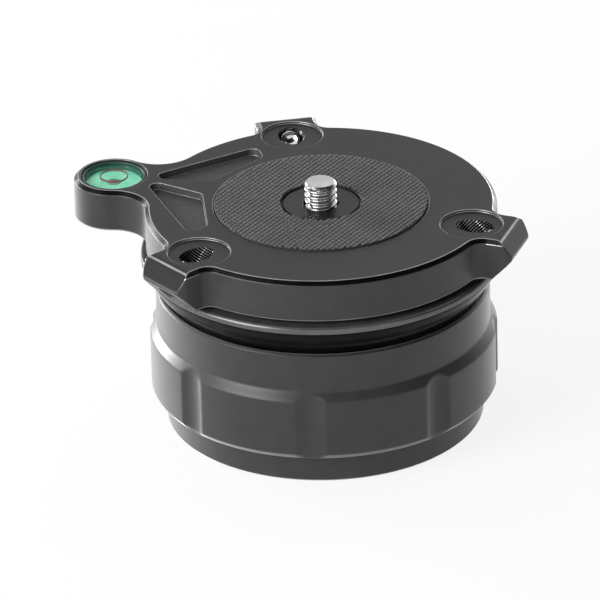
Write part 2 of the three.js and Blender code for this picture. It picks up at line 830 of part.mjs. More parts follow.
// Thread crests as rings between two heights, from the bottom up
function threadProfile(bottom, top) {
  const turns = Math.floor((top - bottom) / studPitch);
  const profile = [];
  for (let turn = 0; turn < turns; turn += 1) {
    const height = bottom + turn * studPitch;
    profile.push([studMinorRadius, height]);
    profile.push([studMajorRadius, height + studPitch / 2]);
  }
  profile.push([studMinorRadius, bottom + turns * studPitch]);
  return profile;
}

function cameraStud() {
  const top = platformTop + studProud;
  const headTop = studHeadBottom + studHeadThickness;
  return turned([
    [0, studHeadBottom],
    [studHeadRadius, studHeadBottom],
    [studHeadRadius, headTop],
    [studMajorRadius, headTop],
    [studMajorRadius, platformTop],
    ...threadProfile(platformTop, top - studTipEdge),
    [studMajorRadius - studTipEdge, top],
    [0, top],
  ], smallSegments);
}

function studBushing() {
  const bore = studMajorRadius + runningGap;
  const bottom = studHeadBottom + studHeadThickness + runningGap;
  return turned([
    [bore, bottom],
    [studNeckRadius, bottom],
    [studNeckRadius, platformTop - studDiscThickness],
    [studDiscRadius, platformTop - studDiscThickness],
    [studDiscRadius, platformTop],
    [bore, platformTop],
  ], innerSegments);
}

function bushingNut() {
  const bottom = platformBottom - bushingNutThickness - runningGap;
  const nut = ring(studNeckRadius + runningGap, bushingNutRadius, bottom, platformBottom - runningGap);
  const notches = around(bushingNutNotchCount, 0, (degrees) => {
    const half = bushingNutNotch;
    const inner = bushingNutRadius - bushingNutNotch;
    const outer = bushingNutRadius + overrun;
    const outline = [[inner, -half], [outer, -half], [outer, half], [inner, half]];
    return turnedAbout(prism(outline, bottom - overrun, bottom + bushingNutNotch), degrees);
  });
  return cutAll(nut, notches);
}

function setScrew(degrees) {
  const top = -setScrewInset;
  const bottom = top - setScrewLength;
  const blank = turned([
    [0, bottom],
    [setScrewRadius - setScrewEdge, bottom],
    [setScrewRadius, bottom + setScrewEdge],
    [setScrewRadius, top - setScrewEdge],
    [setScrewRadius - setScrewEdge, top],
    [setScrewCupRadius, top],
    [0, top - setScrewCupDepth],
  ], smallSegments);
  const socket = hexagon(setScrewSocket, bottom - overrun, bottom + setScrewSocketDepth);
  return onScrewAxis(blank.subtract(socket), degrees);
}

// Level, about its own axis

function levelCup() {
  return turned([
    [0, vialBottom],
    [vialRadius, vialBottom],
    [vialRadius, vialBottom + vialHeight],
    [vialInnerRadius, vialBottom + vialHeight],
    [vialInnerRadius, vialBottom + vialFloor],
    [0, vialBottom + vialFloor],
  ], innerSegments);
}

function levelFluid() {
  const body = cylinder(fluidRadius, fluidBottom, fluidTop, innerSegments);
  const room = bubbleHeight + runningGap;
  return body.subtract(cylinder(bubbleRadius + runningGap, fluidTop - room, fluidTop + overrun));
}

function levelBubble() {
  const bottom = fluidTop - bubbleHeight;
  return turned([
    [0, bottom],
    [bubbleRadius / 2, bottom],
    [bubbleRadius, fluidTop - bubbleHeight / 2],
    [bubbleRadius, fluidTop],
    [0, fluidTop],
  ], smallSegments);
}

function levelLens() {
  const body = cylinder(fluidRadius, fluidTop + runningGap, lensTop, innerSegments);
  return body.subtract(target(runningGap, lensTop + overrun));
}

// The red ring, or with a gap the groove that it lies in
function target(gap, top) {
  return ring(targetRadius - targetWidth - gap, targetRadius + gap, lensTop - targetHeight - gap, top);
}

// Assembly

function addTo(group, entries) {
  entries.forEach(([name, body, finish]) => group.add(piece(name, body, finish)));
  return group;
}

const levelingHead = new THREE.Group();

const base = addTo(new THREE.Group(), [
  ['base_cup', baseCup(), 'blackAnodised'],
  ['tripod_bushing', tripodBushing(), 'stainless'],
  ['column', column(), 'bareAluminium'],
  ['dome_bolt', domeBolt(), 'blackSteel'],
  ['stop_pin', stopPin(0), 'stainless'],
  ...around(columnScrewCount, keyTurn, (degrees, i) => [
    `column_screw_${i + 1}`,
    columnScrew(degrees, 0).subtract(columnScrewDrive(degrees)),
    'blackSteel',
  ]),
  ...around(springWasherCount, 0, (_, i) => [
    `spring_washer_${i + 1}`,
    springWasher(i),
    'springSteel',
  ]),
  ...around(keyCount, keyTurn, (degrees, i) => [`key_pin_${i + 1}`, keyPin(degrees), 'stainless']),
]);

const lock = addTo(new THREE.Group(), [
  ['lock_ring', lockRing(), 'blackAnodised'],
  ['glide_washer', glideWasher(), 'acetal'],
  ['seat_ring', seatRing(), 'bareAluminium'],
  ['seat_liner', seatLiner(), 'acetal'],
]);

const joint = addTo(new THREE.Group(), [
  ['hold_down_dome', holdDownDome(), 'stainless'],
  ['friction_dish', frictionDish(), 'acetal'],
]);

// The platform and all it carries turn together to where the arm points
const head = addTo(new THREE.Group(), [
  ['half_ball', halfBall(), 'glossBlack'],
  ['platform', platform(), 'blackAnodised'],
  ['friction_pad', frictionPad(), 'paddingRubber'],
  ['stud_bushing', studBushing(), 'blackAnodised'],
  ['bushing_nut', bushingNut(), 'blackSteel'],
  ['camera_stud', cameraStud(), 'stainless'],
  ...lobeDirections.map((degrees, i) => [`set_screw_${i + 1}`, setScrew(degrees), 'stainless']),
]);
head.rotation.z = THREE.MathUtils.degToRad(armTurn);

const level = addTo(new THREE.Group(), [
  ['level_cup', levelCup(), 'vialPlastic'],
  ['level_fluid', levelFluid(), 'fluid'],
  ['level_bubble', levelBubble(), 'air'],
  ['level_lens', levelLens(), 'clearAcrylic'],
  ['level_ring', target(0, lensTop), 'targetRed'],
]);
level.position.x = bossDistance;
head.add(level);

levelingHead.add(base, lock, joint, head);

export default levelingHead;
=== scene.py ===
import math

import bmesh
import bpy
from mathutils import Matrix, Vector


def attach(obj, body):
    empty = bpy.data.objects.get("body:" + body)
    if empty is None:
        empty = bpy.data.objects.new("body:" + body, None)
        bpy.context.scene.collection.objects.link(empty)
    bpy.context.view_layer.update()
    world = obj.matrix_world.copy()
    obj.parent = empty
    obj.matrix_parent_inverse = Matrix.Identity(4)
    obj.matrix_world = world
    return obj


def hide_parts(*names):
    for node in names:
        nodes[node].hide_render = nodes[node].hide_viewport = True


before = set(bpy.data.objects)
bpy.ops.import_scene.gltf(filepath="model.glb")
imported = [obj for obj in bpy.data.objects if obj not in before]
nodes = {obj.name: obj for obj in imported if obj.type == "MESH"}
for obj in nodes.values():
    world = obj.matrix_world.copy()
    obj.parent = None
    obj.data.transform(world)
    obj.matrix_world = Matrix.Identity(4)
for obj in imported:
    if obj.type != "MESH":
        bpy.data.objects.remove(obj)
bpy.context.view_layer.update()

mm = 0.001
tau = 2 * math.pi
scene = bpy.context.scene


def report(text):
    print("stage:", text)


# Camera, fitted to the photograph's circles and lines

photoCamera = {
    "focal": 7635.2,        # in pixels of the 600 pixel frame
    "distance": 1512.7,     # mm from the base's bottom centre
    "elevation": 27.966,
    "roll": -1.370,
    "pan": 0.174,
    "tilt": -0.800,
    "frame": 600,
    "sensor": 36,
    "clip": (0.05, 20),     # metres
}


def makeCamera(spec):
    e, roll, pan, tilt = (math.radians(spec[k]) for k in ("elevation", "roll", "pan", "tilt"))
    place = Vector((0, -math.cos(e), math.sin(e))) * spec["distance"] * mm
    forward = -place.normalized()
    right = Vector((1, 0, 0))
    level = Matrix((right, forward.cross(right), forward))
    turn = (Matrix.Rotation(roll, 3, "Z") @ Matrix.Rotation(tilt, 3, "X")
            @ Matrix.Rotation(pan, 3, "Y"))
    rows = turn @ level
    facing = Matrix((rows[0], -rows[1], -rows[2])).transposed()
    data = bpy.data.cameras.new("camera")
    data.sensor_width = spec["sensor"]
    data.lens = spec["focal"] / spec["frame"] * spec["sensor"]
    data.clip_start, data.clip_end = spec["clip"]
    camera = bpy.data.objects.new("camera", data)
    camera.matrix_world = Matrix.Translation(place) @ facing.to_4x4()
    scene.collection.objects.link(camera)
    scene.camera = camera


makeCamera(photoCamera)
report("camera")


# Outlines and profiles, in mm

# edge radii, from a machined edge to a soft one
crisp, fine, deburred, broken, eased, rounded = 0.1, 0.12, 0.15, 0.2, 0.3, 0.5
past = 1    # how far a cutter reaches past a face, and a joined piece into one


def angleBetween(a, b):
    return math.acos(max(-1, min(1, a.normalized().dot(b.normalized()))))


def softened(points, closed=True, pieces=4):
    # points are (x, y) or (x, y, radius); a radius rounds that corner
    nearlyStraight, mostOfEdge = 0.02, 0.49
    done = []
    count = len(points)
    for i, point in enumerate(points):
        here = Vector(point[:2])
        radius = point[2] if len(point) > 2 else 0
        a = Vector(points[i - 1][:2]) - here
        b = Vector(points[(i + 1) % count][:2]) - here
        half = angleBetween(a, b) / 2
        isEnd = not closed and i in (0, count - 1)
        if radius <= 0 or isEnd or half > math.pi / 2 - nearlyStraight:
            done.append(tuple(here))
            continue
        u, v = a.normalized(), b.normalized()
        reach = min(radius / math.tan(half), a.length * mostOfEdge, b.length * mostOfEdge)
        middle = here + (u + v).normalized() * (reach * math.tan(half) / math.sin(half))
        first = here + u * reach - middle
        last = here + v * reach - middle
        angle = angleBetween(first, last)
        for k in range(pieces + 1):
            t = k / pieces
            mix = math.sin((1 - t) * angle) * first + math.sin(t * angle) * last
            done.append(tuple(middle + mix / math.sin(angle)))
    return done


def arc(x, y, radius, start, end, step=3.0):
    # angles in degrees
    count = max(2, math.ceil(abs(end - start) / step))
    turns = [math.radians(start + (end - start) * k / count) for k in range(count + 1)]
    return [(x + radius * math.cos(t), y + radius * math.sin(t)) for t in turns]


def around(count, first=0.0):
    return [first + 360 * k / count for k in range(count)]


def polar(distance, degrees):
    angle = math.radians(degrees)
    return (distance * math.cos(angle), distance * math.sin(angle))


def evenSteps(start, end, size):
    count = max(1, round((end - start) / size))
    return [start + (end - start) * k / count for k in range(count + 1)]


# Meshes

def meshObject(name, verts, faces):
    mesh = bpy.data.meshes.new(name)
    mesh.from_pydata([(x * mm, y * mm, z * mm) for x, y, z in verts], [], faces)
    mesh.validate()
    mesh.update()
    obj = bpy.data.objects.new(name, mesh)
    scene.collection.objects.link(obj)
    fixNormals(obj)
    return obj


def fixNormals(obj, same=0.002):
    bm = bmesh.new()
    bm.from_mesh(obj.data)
    bmesh.ops.remove_doubles(bm, verts=bm.verts, dist=same * mm)
    bmesh.ops.recalc_face_normals(bm, faces=bm.faces)
    bm.to_mesh(obj.data)
    bm.free()


def ringPoints(height, count, radius):
    # radius is a length, or a function that gives one for an angle
    points = []
    for i in range(count):
        angle = tau * i / count
        r = radius(angle) if callable(radius) else radius
        points.append((r * math.cos(angle), r * math.sin(angle), height))
    return points


def quadsBetween(a, b, count):
    # faces between the ring that starts at point a and the one that starts at b
    turns = [(i, (i + 1) % count) for i in range(count)]
    return [(a + i, a + j, b + j, b + i) for i, j in turns]


def tubeFaces(rings, count):
    return [quad for k in range(rings - 1) for quad in quadsBetween(k * count, (k + 1) * count, count)]


def endFaces(rings, count):
    last = (rings - 1) * count
    return [tuple(range(count))[::-1], tuple(range(last, last + count))]


def lathe(name, profile, steps=192, warp=None):
    # closed profile of (radius, height); warp moves the radius by (radius, height, angle)
    count = len(profile)
    verts = []
    for i in range(steps):
        angle = tau * i / steps
        for radius, height in profile:
            r = warp(radius, height, angle) if warp else radius
            verts.append((r * math.cos(angle), r * math.sin(angle), height))
    onAxis = [radius < 1e-6 for radius, height in profile]
    faces = []
    for i in range(steps):
        a = i * count
        b = ((i + 1) % steps) * count
        for k in range(count):
            j = (k + 1) % count
            if not (onAxis[k] and onAxis[j]):
                faces.append((a + k, b + k, b + j, a + j))
    return meshObject(name, verts, faces)


def stacked(name, layers):
    # outlines of equal length, each with its height
    count = len(layers[0][0])
    verts = [(x, y, z) for outline, z in layers for x, y in outline]
    return meshObject(name, verts, tubeFaces(len(layers), count) + endFaces(len(layers), count))


def prism(name, outline, bottom, top):
    return stacked(name, [(outline, bottom), (outline, top)])


def rod(name, radius, bottom, top, steps=96):
    outline = arc(0, 0, radius, 0, 360 - 360 / steps, 360 / steps)[:steps]
    return prism(name, outline, bottom, top)


def hexRod(name, halfFlats, bottom, top):
    return rod(name, halfFlats / math.cos(math.pi / 6), bottom, top, 6)


def shifted(obj, x=0, y=0, z=0, turn=0.0, lean=0.0):
    # leans about Y, then turns about Z, then moves; degrees and mm
    obj.data.transform(
        Matrix.Translation(Vector((x, y, z)) * mm)
        @ Matrix.Rotation(math.radians(turn), 4, "Z")
        @ Matrix.Rotation(math.radians(lean), 4, "Y")
    )
    return obj


def applyModifiers(obj):
    bpy.context.view_layer.update()
    graph = bpy.context.evaluated_depsgraph_get()
    mesh = bpy.data.meshes.new_from_object(obj.evaluated_get(graph), depsgraph=graph)
    obj.modifiers.clear()
    old = obj.data
    obj.data = mesh
    bpy.data.meshes.remove(old)


def carve(obj, cutters, operation="DIFFERENCE", keepLook=False):
    # keepLook gives the cut faces the cutter's own material
    for cutter in cutters:
        cut = obj.modifiers.new("cut", "BOOLEAN")
        cut.object = cutter
        cut.operation = operation
        cut.solver = "EXACT"
        cut.material_mode = "TRANSFER" if keepLook else "INDEX"
        applyModifiers(obj)
        bpy.data.objects.remove(cutter)
    return obj


def flatten(obj, same=0.01, turn=0.3):
    # joins what the cuts left split; mm and degrees
    bm = bmesh.new()
    bm.from_mesh(obj.data)
    bmesh.ops.remove_doubles(bm, verts=bm.verts, dist=same * mm)
    bmesh.ops.dissolve_limit(bm, angle_limit=math.radians(turn), verts=bm.verts, edges=bm.edges)
    bm.to_mesh(obj.data)
    bm.free()


def breakEdges(obj, width, segments=2, angle=32, slot=-1, limit="ANGLE"):
    bevel = obj.modifiers.new("edges", "BEVEL")
    bevel.width = width * mm
    bevel.segments = segments
    bevel.limit_method = limit
    bevel.angle_limit = math.radians(angle)
    bevel.use_clamp_overlap = False
    bevel.miter_outer = "MITER_ARC"
    bevel.material = slot
    applyModifiers(obj)


def breakWhere(obj, width, chosen, segments=2, slot=-1):
    # breaks the edges for which chosen says so
    bm = bmesh.new()
    bm.from_mesh(obj.data)
    weights = bm.edges.layers.float
    weight = weights.get("bevel_weight_edge") or weights.new("bevel_weight_edge")
    for edge in bm.edges:
        edge[weight] = 1 if chosen(edge) else 0
    bm.to_mesh(obj.data)
    bm.free()
    breakEdges(obj, width, segments, slot=slot, limit="WEIGHT")


def joined(name, objects):
    # one object of several, each with its own material slots
    bm = bmesh.new()
    materials = []
    for obj in objects:
        offset = len(materials)
        materials += list(obj.data.materials)
        part = bmesh.new()
        part.from_mesh(obj.data)
        for face in part.faces:
            face.material_index += offset
        mesh = bpy.data.meshes.new("part")
        part.to_mesh(mesh)
        part.free()
        bm.from_mesh(mesh)
        bpy.data.meshes.remove(mesh)
        bpy.data.objects.remove(obj)
    mesh = bpy.data.meshes.new(name)
    bm.to_mesh(mesh)
    bm.free()
    for material in materials:
        mesh.materials.append(material)
    obj = bpy.data.objects.new(name, mesh)
    scene.collection.objects.link(obj)
    return obj


def dress(obj, *names):
    obj.data.materials.clear()
    for name in names:
        obj.data.materials.append(looks[name])
    return obj


def finishPiece(obj, body, stands, angle=30):
    # smooth shading up to the angle, then the piece's body, and the nodes it replaces are hidden
    obj.data.polygons.foreach_set("use_smooth", [True] * len(obj.data.polygons))
    obj.data.set_sharp_from_angle(angle=math.radians(angle))
    weighted = obj.modifiers.new("shading", "WEIGHTED_NORMAL")
    weighted.keep_sharp = True
    weighted.weight = 100
    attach(obj, body)
    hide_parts(*stands)


# Materials

def nodeTree(name):
    material = bpy.data.materials.new(name)
    material.use_nodes = True
    tree = material.node_tree
    shader = tree.nodes["Principled BSDF"]
    where = tree.nodes.new("ShaderNodeTexCoord")
    return material, tree, shader, where.outputs["Object"]


def addNode(tree, kind, inputs, output, **settings):
    # each input is a number, a colour or another node's output
    node = tree.nodes.new(f"ShaderNode{kind}")
    for key, value in settings.items():
        setattr(node, key, value)
    for socket, value in inputs.items():
        if isinstance(value, bpy.types.NodeSocket):
            tree.links.new(value, node.inputs[socket])
        else:
            node.inputs[socket].default_value = value
    return node.outputs[output]


def noise(tree, where, size, detail=3.0, rough=0.6):
    # size is the width of a blotch in mm
    inputs = {"Vector": where, "Scale": 1 / (size * mm), "Detail": detail, "Roughness": rough}
    return addNode(tree, "TexNoise", inputs, "Fac")


def spread(tree, value, low, high, fromLow=0.3, fromHigh=0.7):
    inputs = {"Value": value, "From Min": fromLow, "From Max": fromHigh, "To Min": low, "To Max": high}
    return addNode(tree, "MapRange", inputs, "Result")


def colourBy(tree, tone, dark, light, socket):
    # the colour that goes into the socket runs from dark to light with the noise
    inputs = {"Factor": spread(tree, tone, 0, 1), "A": (*dark, 1), "B": (*light, 1)}
    tree.links.new(addNode(tree, "Mix", inputs, "Result", data_type="RGBA"), socket)


fineNoise = (2.0, 0.7)  # detail and roughness of the finest marks


def turnedRings(tree, where, pitch):
    # fine lathe marks round Z
    split = tree.nodes.new("ShaderNodeSeparateXYZ")
    tree.links.new(where, split.inputs[0])
    x, y, z = split.outputs
    flat = addNode(tree, "CombineXYZ", {"X": x, "Y": y}, 0)
    reach = addNode(tree, "VectorMath", {0: flat}, "Value", operation="LENGTH")
    total = addNode(tree, "Math", {0: reach, 1: z}, 0, operation="ADD")
    return noise(tree, addNode(tree, "CombineXYZ", {"X": total}, 0), pitch, *fineNoise)


def bump(tree, value, height, shader):
    inputs = {"Height": value, "Distance": height * mm, "Strength": 1}
    tree.links.new(addNode(tree, "Bump", inputs, "Normal"), shader.inputs["Normal"])


def surface(name, dark, light, rough, metal=0.0, grain=0.1, rings=0.0, depth=0.004, blotch=4.0,
            specular=0.5, roughSpan=0.06, sheen=0.0, sheenRough=0.35):
    # blotches from dark to light, and a fine grain (or turned rings) in the gloss and the bump
    material, tree, shader, where = nodeTree(name)
    shader.inputs["Metallic"].default_value = metal
    shader.inputs["Specular IOR Level"].default_value = specular
    if sheen:
        shader.inputs["Sheen Weight"].default_value = sheen
        shader.inputs["Sheen Roughness"].default_value = sheenRough
    colourBy(tree, noise(tree, where, blotch), dark, light, shader.inputs["Base Color"])
    fine = turnedRings(tree, where, rings) if rings else noise(tree, where, grain, *fineNoise)
    gloss = spread(tree, fine, rough - roughSpan, rough + roughSpan)
    tree.links.new(gloss, shader.inputs["Roughness"])
    bump(tree, fine, depth, shader)
    material.diffuse_color = (*light, 1)
    return material


def clearMaterial(name, colour, rough, ior, weight, alpha, blotch=2.0, darkest=0.94, roughShare=0.2):
    material, tree, shader, where = nodeTree(name)
    shader.inputs["Transmission Weight"].default_value = weight
    shader.inputs["IOR"].default_value = ior
    shader.inputs["Alpha"].default_value = alpha
    tone = noise(tree, where, blotch)
    colourBy(tree, tone, [c * darkest for c in colour], colour, shader.inputs["Base Color"])
    gloss = spread(tree, tone, rough * (1 - roughShare), rough * (1 + roughShare))
    tree.links.new(gloss, shader.inputs["Roughness"])
    material.diffuse_color = (*colour, 1)
    return material


# dark colour, light colour, roughness, and the rest of what surface takes
solidLooks = {
    "anodised": ((0.005, 0.005, 0.0055), (0.009, 0.009, 0.0095), 0.46, {"specular": 0.3}),
    # painted light: the platform's upright sides take the top's anodised finish in a lighter copy, with sheen
    "anodisedSideLit": ((0.015, 0.015, 0.016), (0.021, 0.021, 0.022), 0.44, {"specular": 0.45, "sheen": 1.0}),
    # painted shade: the platform's chamfers take the same finish near black, for the dark they reflect
    "anodisedChamferShaded": ((0.0015, 0.0015, 0.002), (0.003, 0.003, 0.0035), 0.30,
                        {"depth": 0.002, "specular": 0.12}),
    # painted shade: the lobes' sloping faces take the same finish near black, for the dark they reflect
    "anodisedSlopeShaded": ((0.002, 0.002, 0.0025), (0.004, 0.004, 0.0045), 0.30, {"depth": 0.002}),
    # the pocket floors: lighter and rougher than the platform's top
    "pocketFloorPale": ((0.040, 0.040, 0.041), (0.055, 0.055, 0.056), 0.55,
               {"blotch": 1.5, "grain": 0.08, "specular": 0.4}),
    "anodisedTurned": ((0.017, 0.017, 0.018), (0.023, 0.023, 0.024), 0.40,
                       {"rings": 0.12, "depth": 0.0015, "specular": 0.42, "sheen": 1.0}),
    # painted highlight, partly bare worn edge: a bright metal on the broken edges, the lobes' ridges and the
    # threads' crests
    "edgeWearAndHighlight": ((0.26, 0.26, 0.264), (0.40, 0.40, 0.404), 0.30,
                     {"metal": 0.8, "grain": 0.2, "depth": 0.001}),
    # painted highlight: the half ball's lip is the ball's black in a brighter, more metal copy
    "lipHighlight": ((0.06, 0.06, 0.061), (0.09, 0.09, 0.091), 0.28,
                 {"metal": 0.4, "rings": 0.15, "depth": 0.0008, "specular": 1.0, "roughSpan": 0.04}),
    # painted shade: the half ball's reflection is turned almost off, for the dark under the platform
    "gloss": ((0.0025, 0.0025, 0.003), (0.004, 0.004, 0.0045), 0.14,
              {"rings": 0.2, "depth": 0.0004, "specular": 0.03, "roughSpan": 0.03}),
    "smoothBlack": ((0.006, 0.006, 0.007), (0.010, 0.010, 0.011), 0.36,
                    {"rings": 0.15, "depth": 0.0006, "specular": 0.2}),
    "rubber": ((0.060, 0.060, 0.062), (0.080, 0.080, 0.083), 0.62, {"grain": 0.15, "depth": 0.006}),
    # painted shade: the grooves between the pad's diamonds take the rubber in a darker copy
    "rubberGrooveShade": ((0.014, 0.014, 0.0145), (0.020, 0.020, 0.021), 0.8, {"grain": 0.15, "depth": 0.006}),
    "studSteel": ((0.46, 0.455, 0.45), (0.58, 0.575, 0.57), 0.26,
                  {"metal": 1.0, "rings": 0.1, "depth": 0.0008, "roughSpan": 0.05}),
    "stainless": ((0.62, 0.61, 0.60), (0.74, 0.73, 0.72), 0.16,
                  {"metal": 1.0, "rings": 0.1, "depth": 0.0008, "roughSpan": 0.05}),
    "steelBlack": ((0.03, 0.03, 0.032), (0.05, 0.05, 0.052), 0.35, {"metal": 0.6, "depth": 0.002}),
    "steelSpring": ((0.40, 0.41, 0.42), (0.50, 0.50, 0.51), 0.28,
                    {"metal": 1.0, "rings": 0.15, "depth": 0.001}),
    "aluminium": ((0.60, 0.61, 0.62), (0.70, 0.70, 0.71), 0.3, {"metal": 1.0, "rings": 0.18, "depth": 0.002}),
    "acetal": ((0.74, 0.72, 0.67), (0.80, 0.78, 0.73), 0.45, {"grain": 0.3, "depth": 0.002}),
    "targetRed": ((0.13, 0.02, 0.016), (0.20, 0.03, 0.022), 0.4, {"grain": 0.2, "depth": 0.001}),
    # painted shade: a dark green on the level cup's wall and rim, for the cup's shadowed inside
    "vialWallShade": ((0.010, 0.040, 0.032), (0.018, 0.062, 0.050), 0.35,
                 {"grain": 0.3, "depth": 0.001, "specular": 0.3}),
    "vialGreen": ((0.10, 0.52, 0.33), (0.16, 0.66, 0.42), 0.25, {"grain": 0.4, "depth": 0.001}),
}
# colour, roughness, index of refraction, transmission and alpha
clearLooks = {
    "fluid": ((0.20, 0.95, 0.60), 0.25, 1.36, 0.05, 1.0),
    # painted shade: the bubble is dark green where an air bubble is clear and only looks dark from the way it
    # bends light
    "bubble": ((0.05, 0.20, 0.15), 0.08, 1.3, 0.3, 1.0),
    "acrylic": ((0.9, 1.0, 0.96), 0.03, 1.45, 1.0, 0.12),
}
looks = {name: surface(name, *look[:3], **look[3]) for name, look in solidLooks.items()}
looks.update({name: clearMaterial(name, *look) for name, look in clearLooks.items()})
report("materials")


# Base: the cup with its recessed underside

base = {
    "bandRadius": 31.29,
    "shoulder": 5.64,
    "edge": 0.43,
    "neckRadius": 28.12,
    "neckTop": 15.23,
    "innerRadius": 26.07,
    "floor": 3.93,
    "bore": 7.14,
    "recess": (15.38, 27.7, 0.43),
    "screwRing": 10.43,
    "screwHole": 1.55,
    "screwHead": 2.7,
    "screwInset": 0.17,
    "screwTurns": around(3, 30),
}


def makeBaseCup(spec):
    inner, outer, depth = spec["recess"]
    edge, band, shoulder = spec["edge"], spec["bandRadius"], spec["shoulder"]
    profile = softened([
        (spec["bore"], 0, broken), (inner, 0, deburred), (inner, depth), (outer, depth),
        (outer, 0, deburred), (band - edge, 0, deburred), (band, edge, deburred),
        (band, shoulder - edge, broken), (band - edge, shoulder, broken),
        (spec["neckRadius"], shoulder), (spec["neckRadius"], spec["neckTop"], eased),
        (spec["innerRadius"], spec["neckTop"], eased), (spec["innerRadius"], spec["floor"], rounded),
        (spec["bore"], spec["floor"], broken),
    ])
    cup = lathe("base_cup_body", profile, steps=240)
    head, hole, inset = spec["screwHead"], spec["screwHole"], spec["screwInset"]
    above = spec["floor"] + 2 * past
    cutters = []
    for turn in spec["screwTurns"]:
        cutter = lathe("hole", [(0, -past), (head, -past), (head, inset), (hole, inset + head - hole),
                                (hole, above), (0, above)], steps=48)
        cutters.append(shifted(cutter, *polar(spec["screwRing"], turn)))
    carve(cup, cutters)
    dress(cup, "anodisedTurned")
    finishPiece(cup, "base", ("base_cup",))


makeBaseCup(base)

columnScrew = {"head": 2.4, "shank": 1.25, "inset": 0.17, "length": 6.8, "socket": 0.8, "socketDepth": 1.03}


def makeColumnScrew(node, spec, turn):
    inset, head, shank = spec["inset"], spec["head"], spec["shank"]
    end = inset + spec["length"]
    screw = lathe(f"{node}_body", softened([
        (0, inset), (head, inset, fine), (shank, inset + head - shank, broken), (shank, end, eased), (0, end),
    ], closed=False), steps=48)
    carve(screw, [hexRod("socket", spec["socket"], -past, inset + spec["socketDepth"])])
    shifted(screw, *polar(base["screwRing"], turn))
    dress(screw, "steelBlack")
    finishPiece(screw, "base", (node,))


for index, turn in enumerate(base["screwTurns"]):
    makeColumnScrew(f"column_screw_{index + 1}", columnScrew, turn)


# Threads, as a surface whose radius follows a helix

def threadRadius(height, angle, pitch, crest, root, soft=False, flat=0.1):
    # flat is the share of the pitch that the crest and the root each take; soft rounds the flanks
    phase = (height / pitch - angle / tau) % 1
    share = min(1, max(0, (abs(2 * phase - 1) - flat) / (1 - 2 * flat)))
    if soft:
        share *= share * (3 - 2 * share)
    return root + (crest - root) * (1 - share)


def threadedTube(rows, count, radiusAt):
    # rows are heights; radiusAt gives the radius for a height and an angle
    verts = []
    for height in rows:
        verts += ringPoints(height, count, lambda angle: radiusAt(height, angle))
    return verts, tubeFaces(len(rows), count)


tripodBushing = {
    "radius": 6.84, "flange": 8.21, "bottom": 0.17, "seat": 4.23, "top": 6.37,
    "major": 4.76, "minor": 3.97, "pitch": 1.5875, "rowsPerTurn": 12, "leadIn": 0.3,
}


def makeTripodBushing(spec, count=72):
    bottom, top, radius, flange = spec["bottom"], spec["top"], spec["radius"], spec["flange"]
    rows = evenSteps(bottom, top, spec["pitch"] / spec["rowsPerTurn"])

    def bore(height, angle):
        cone = spec["major"] + spec["leadIn"] - (height - bottom)
        return max(threadRadius(height, angle, spec["pitch"], spec["major"], spec["minor"]), cone)

    verts, faces = threadedTube(rows, count, bore)
    start = len(verts)
    outer = [(radius - broken, bottom)] + softened([
        (radius, bottom, broken), (radius, spec["seat"]), (flange, spec["seat"], broken),
        (flange, top, broken),
    ])
    for ringRadius, height in outer:
        verts += ringPoints(height, count, ringRadius)
    rings = [0] + [start + k * count for k in range(len(outer))] + [(len(rows) - 1) * count]
    for a, b in zip(rings, rings[1:]):
        faces += [(a + i, b + i, b + (i + 1) % count, a + (i + 1) % count) for i in range(count)]
    bushing = dress(meshObject("tripod_bushing_body", verts, faces), "stainless")
    finishPiece(bushing, "base", ("tripod_bushing",))


makeTripodBushing(tripodBushing)
report("base")


# Lock ring: a turned ring whose grip is scalloped by flutes

lock = {
    "bore": 28.47, "bottom": 6.24, "lowerEdge": (33.35, 1.11), "grip": 34.2, "gripTop": 18.64,
    "gripRound": 1.0, "bandFrom": 20.52, "band": 32.83, "bandRound": 0.8, "top": 28.4, "rimEdge": 0.34,
    "bowl": 40.44, "pivot": 53.0, "wall": 31.29, "flange": (26.12, 15.91, 16.76),
    "flutes": around(8, -5), "fluteCutter": 6.84, "fluteDepth": 0.77, "fluteSoft": 0.16,
    "fluteZone": (0.6, 0.5),        # how far inside the band and above its foot the flutes may reach
    "longest": 1.2, "dense": 0.8,   # stretches of the grip longer than the first are cut to the second
}


def lockProfile(spec):
    lowerRadius, lowerRise = spec["lowerEdge"]
    inner, flangeBottom, flangeTop = spec["flange"]
    bottom, top, band, rimEdge = spec["bottom"], spec["top"], spec["band"], spec["rimEdge"]
    rim = math.sqrt(spec["bowl"] ** 2 - (spec["pivot"] - top) ** 2)
    wallTop = spec["pivot"] - math.sqrt(spec["bowl"] ** 2 - spec["wall"] ** 2)
    profile = softened([
        (spec["bore"], bottom), (lowerRadius, bottom, broken), (spec["grip"], bottom + lowerRise, rounded),
        (spec["grip"], spec["gripTop"], spec["gripRound"]), (band, spec["bandFrom"], spec["bandRound"]),
        (band, top - rimEdge, deburred), (band - rimEdge, top, deburred), (rim, top, crisp),
        (spec["wall"], wallTop, crisp), (spec["wall"], flangeTop), (inner, flangeTop), (inner, flangeBottom),
        (spec["bore"], flangeBottom),
    ], pieces=5)
    done = []
    for i, point in enumerate(profile):
        after = profile[(i + 1) % len(profile)]
        done.append(point)
        length = math.dist(point, after)
        if min(point[0], after[0]) > band - spec["fluteZone"][0] and length > spec["longest"]:
            count = math.ceil(length / spec["dense"])
            done += [tuple(Vector(point).lerp(Vector(after), k / count)) for k in range(1, count)]
    return done


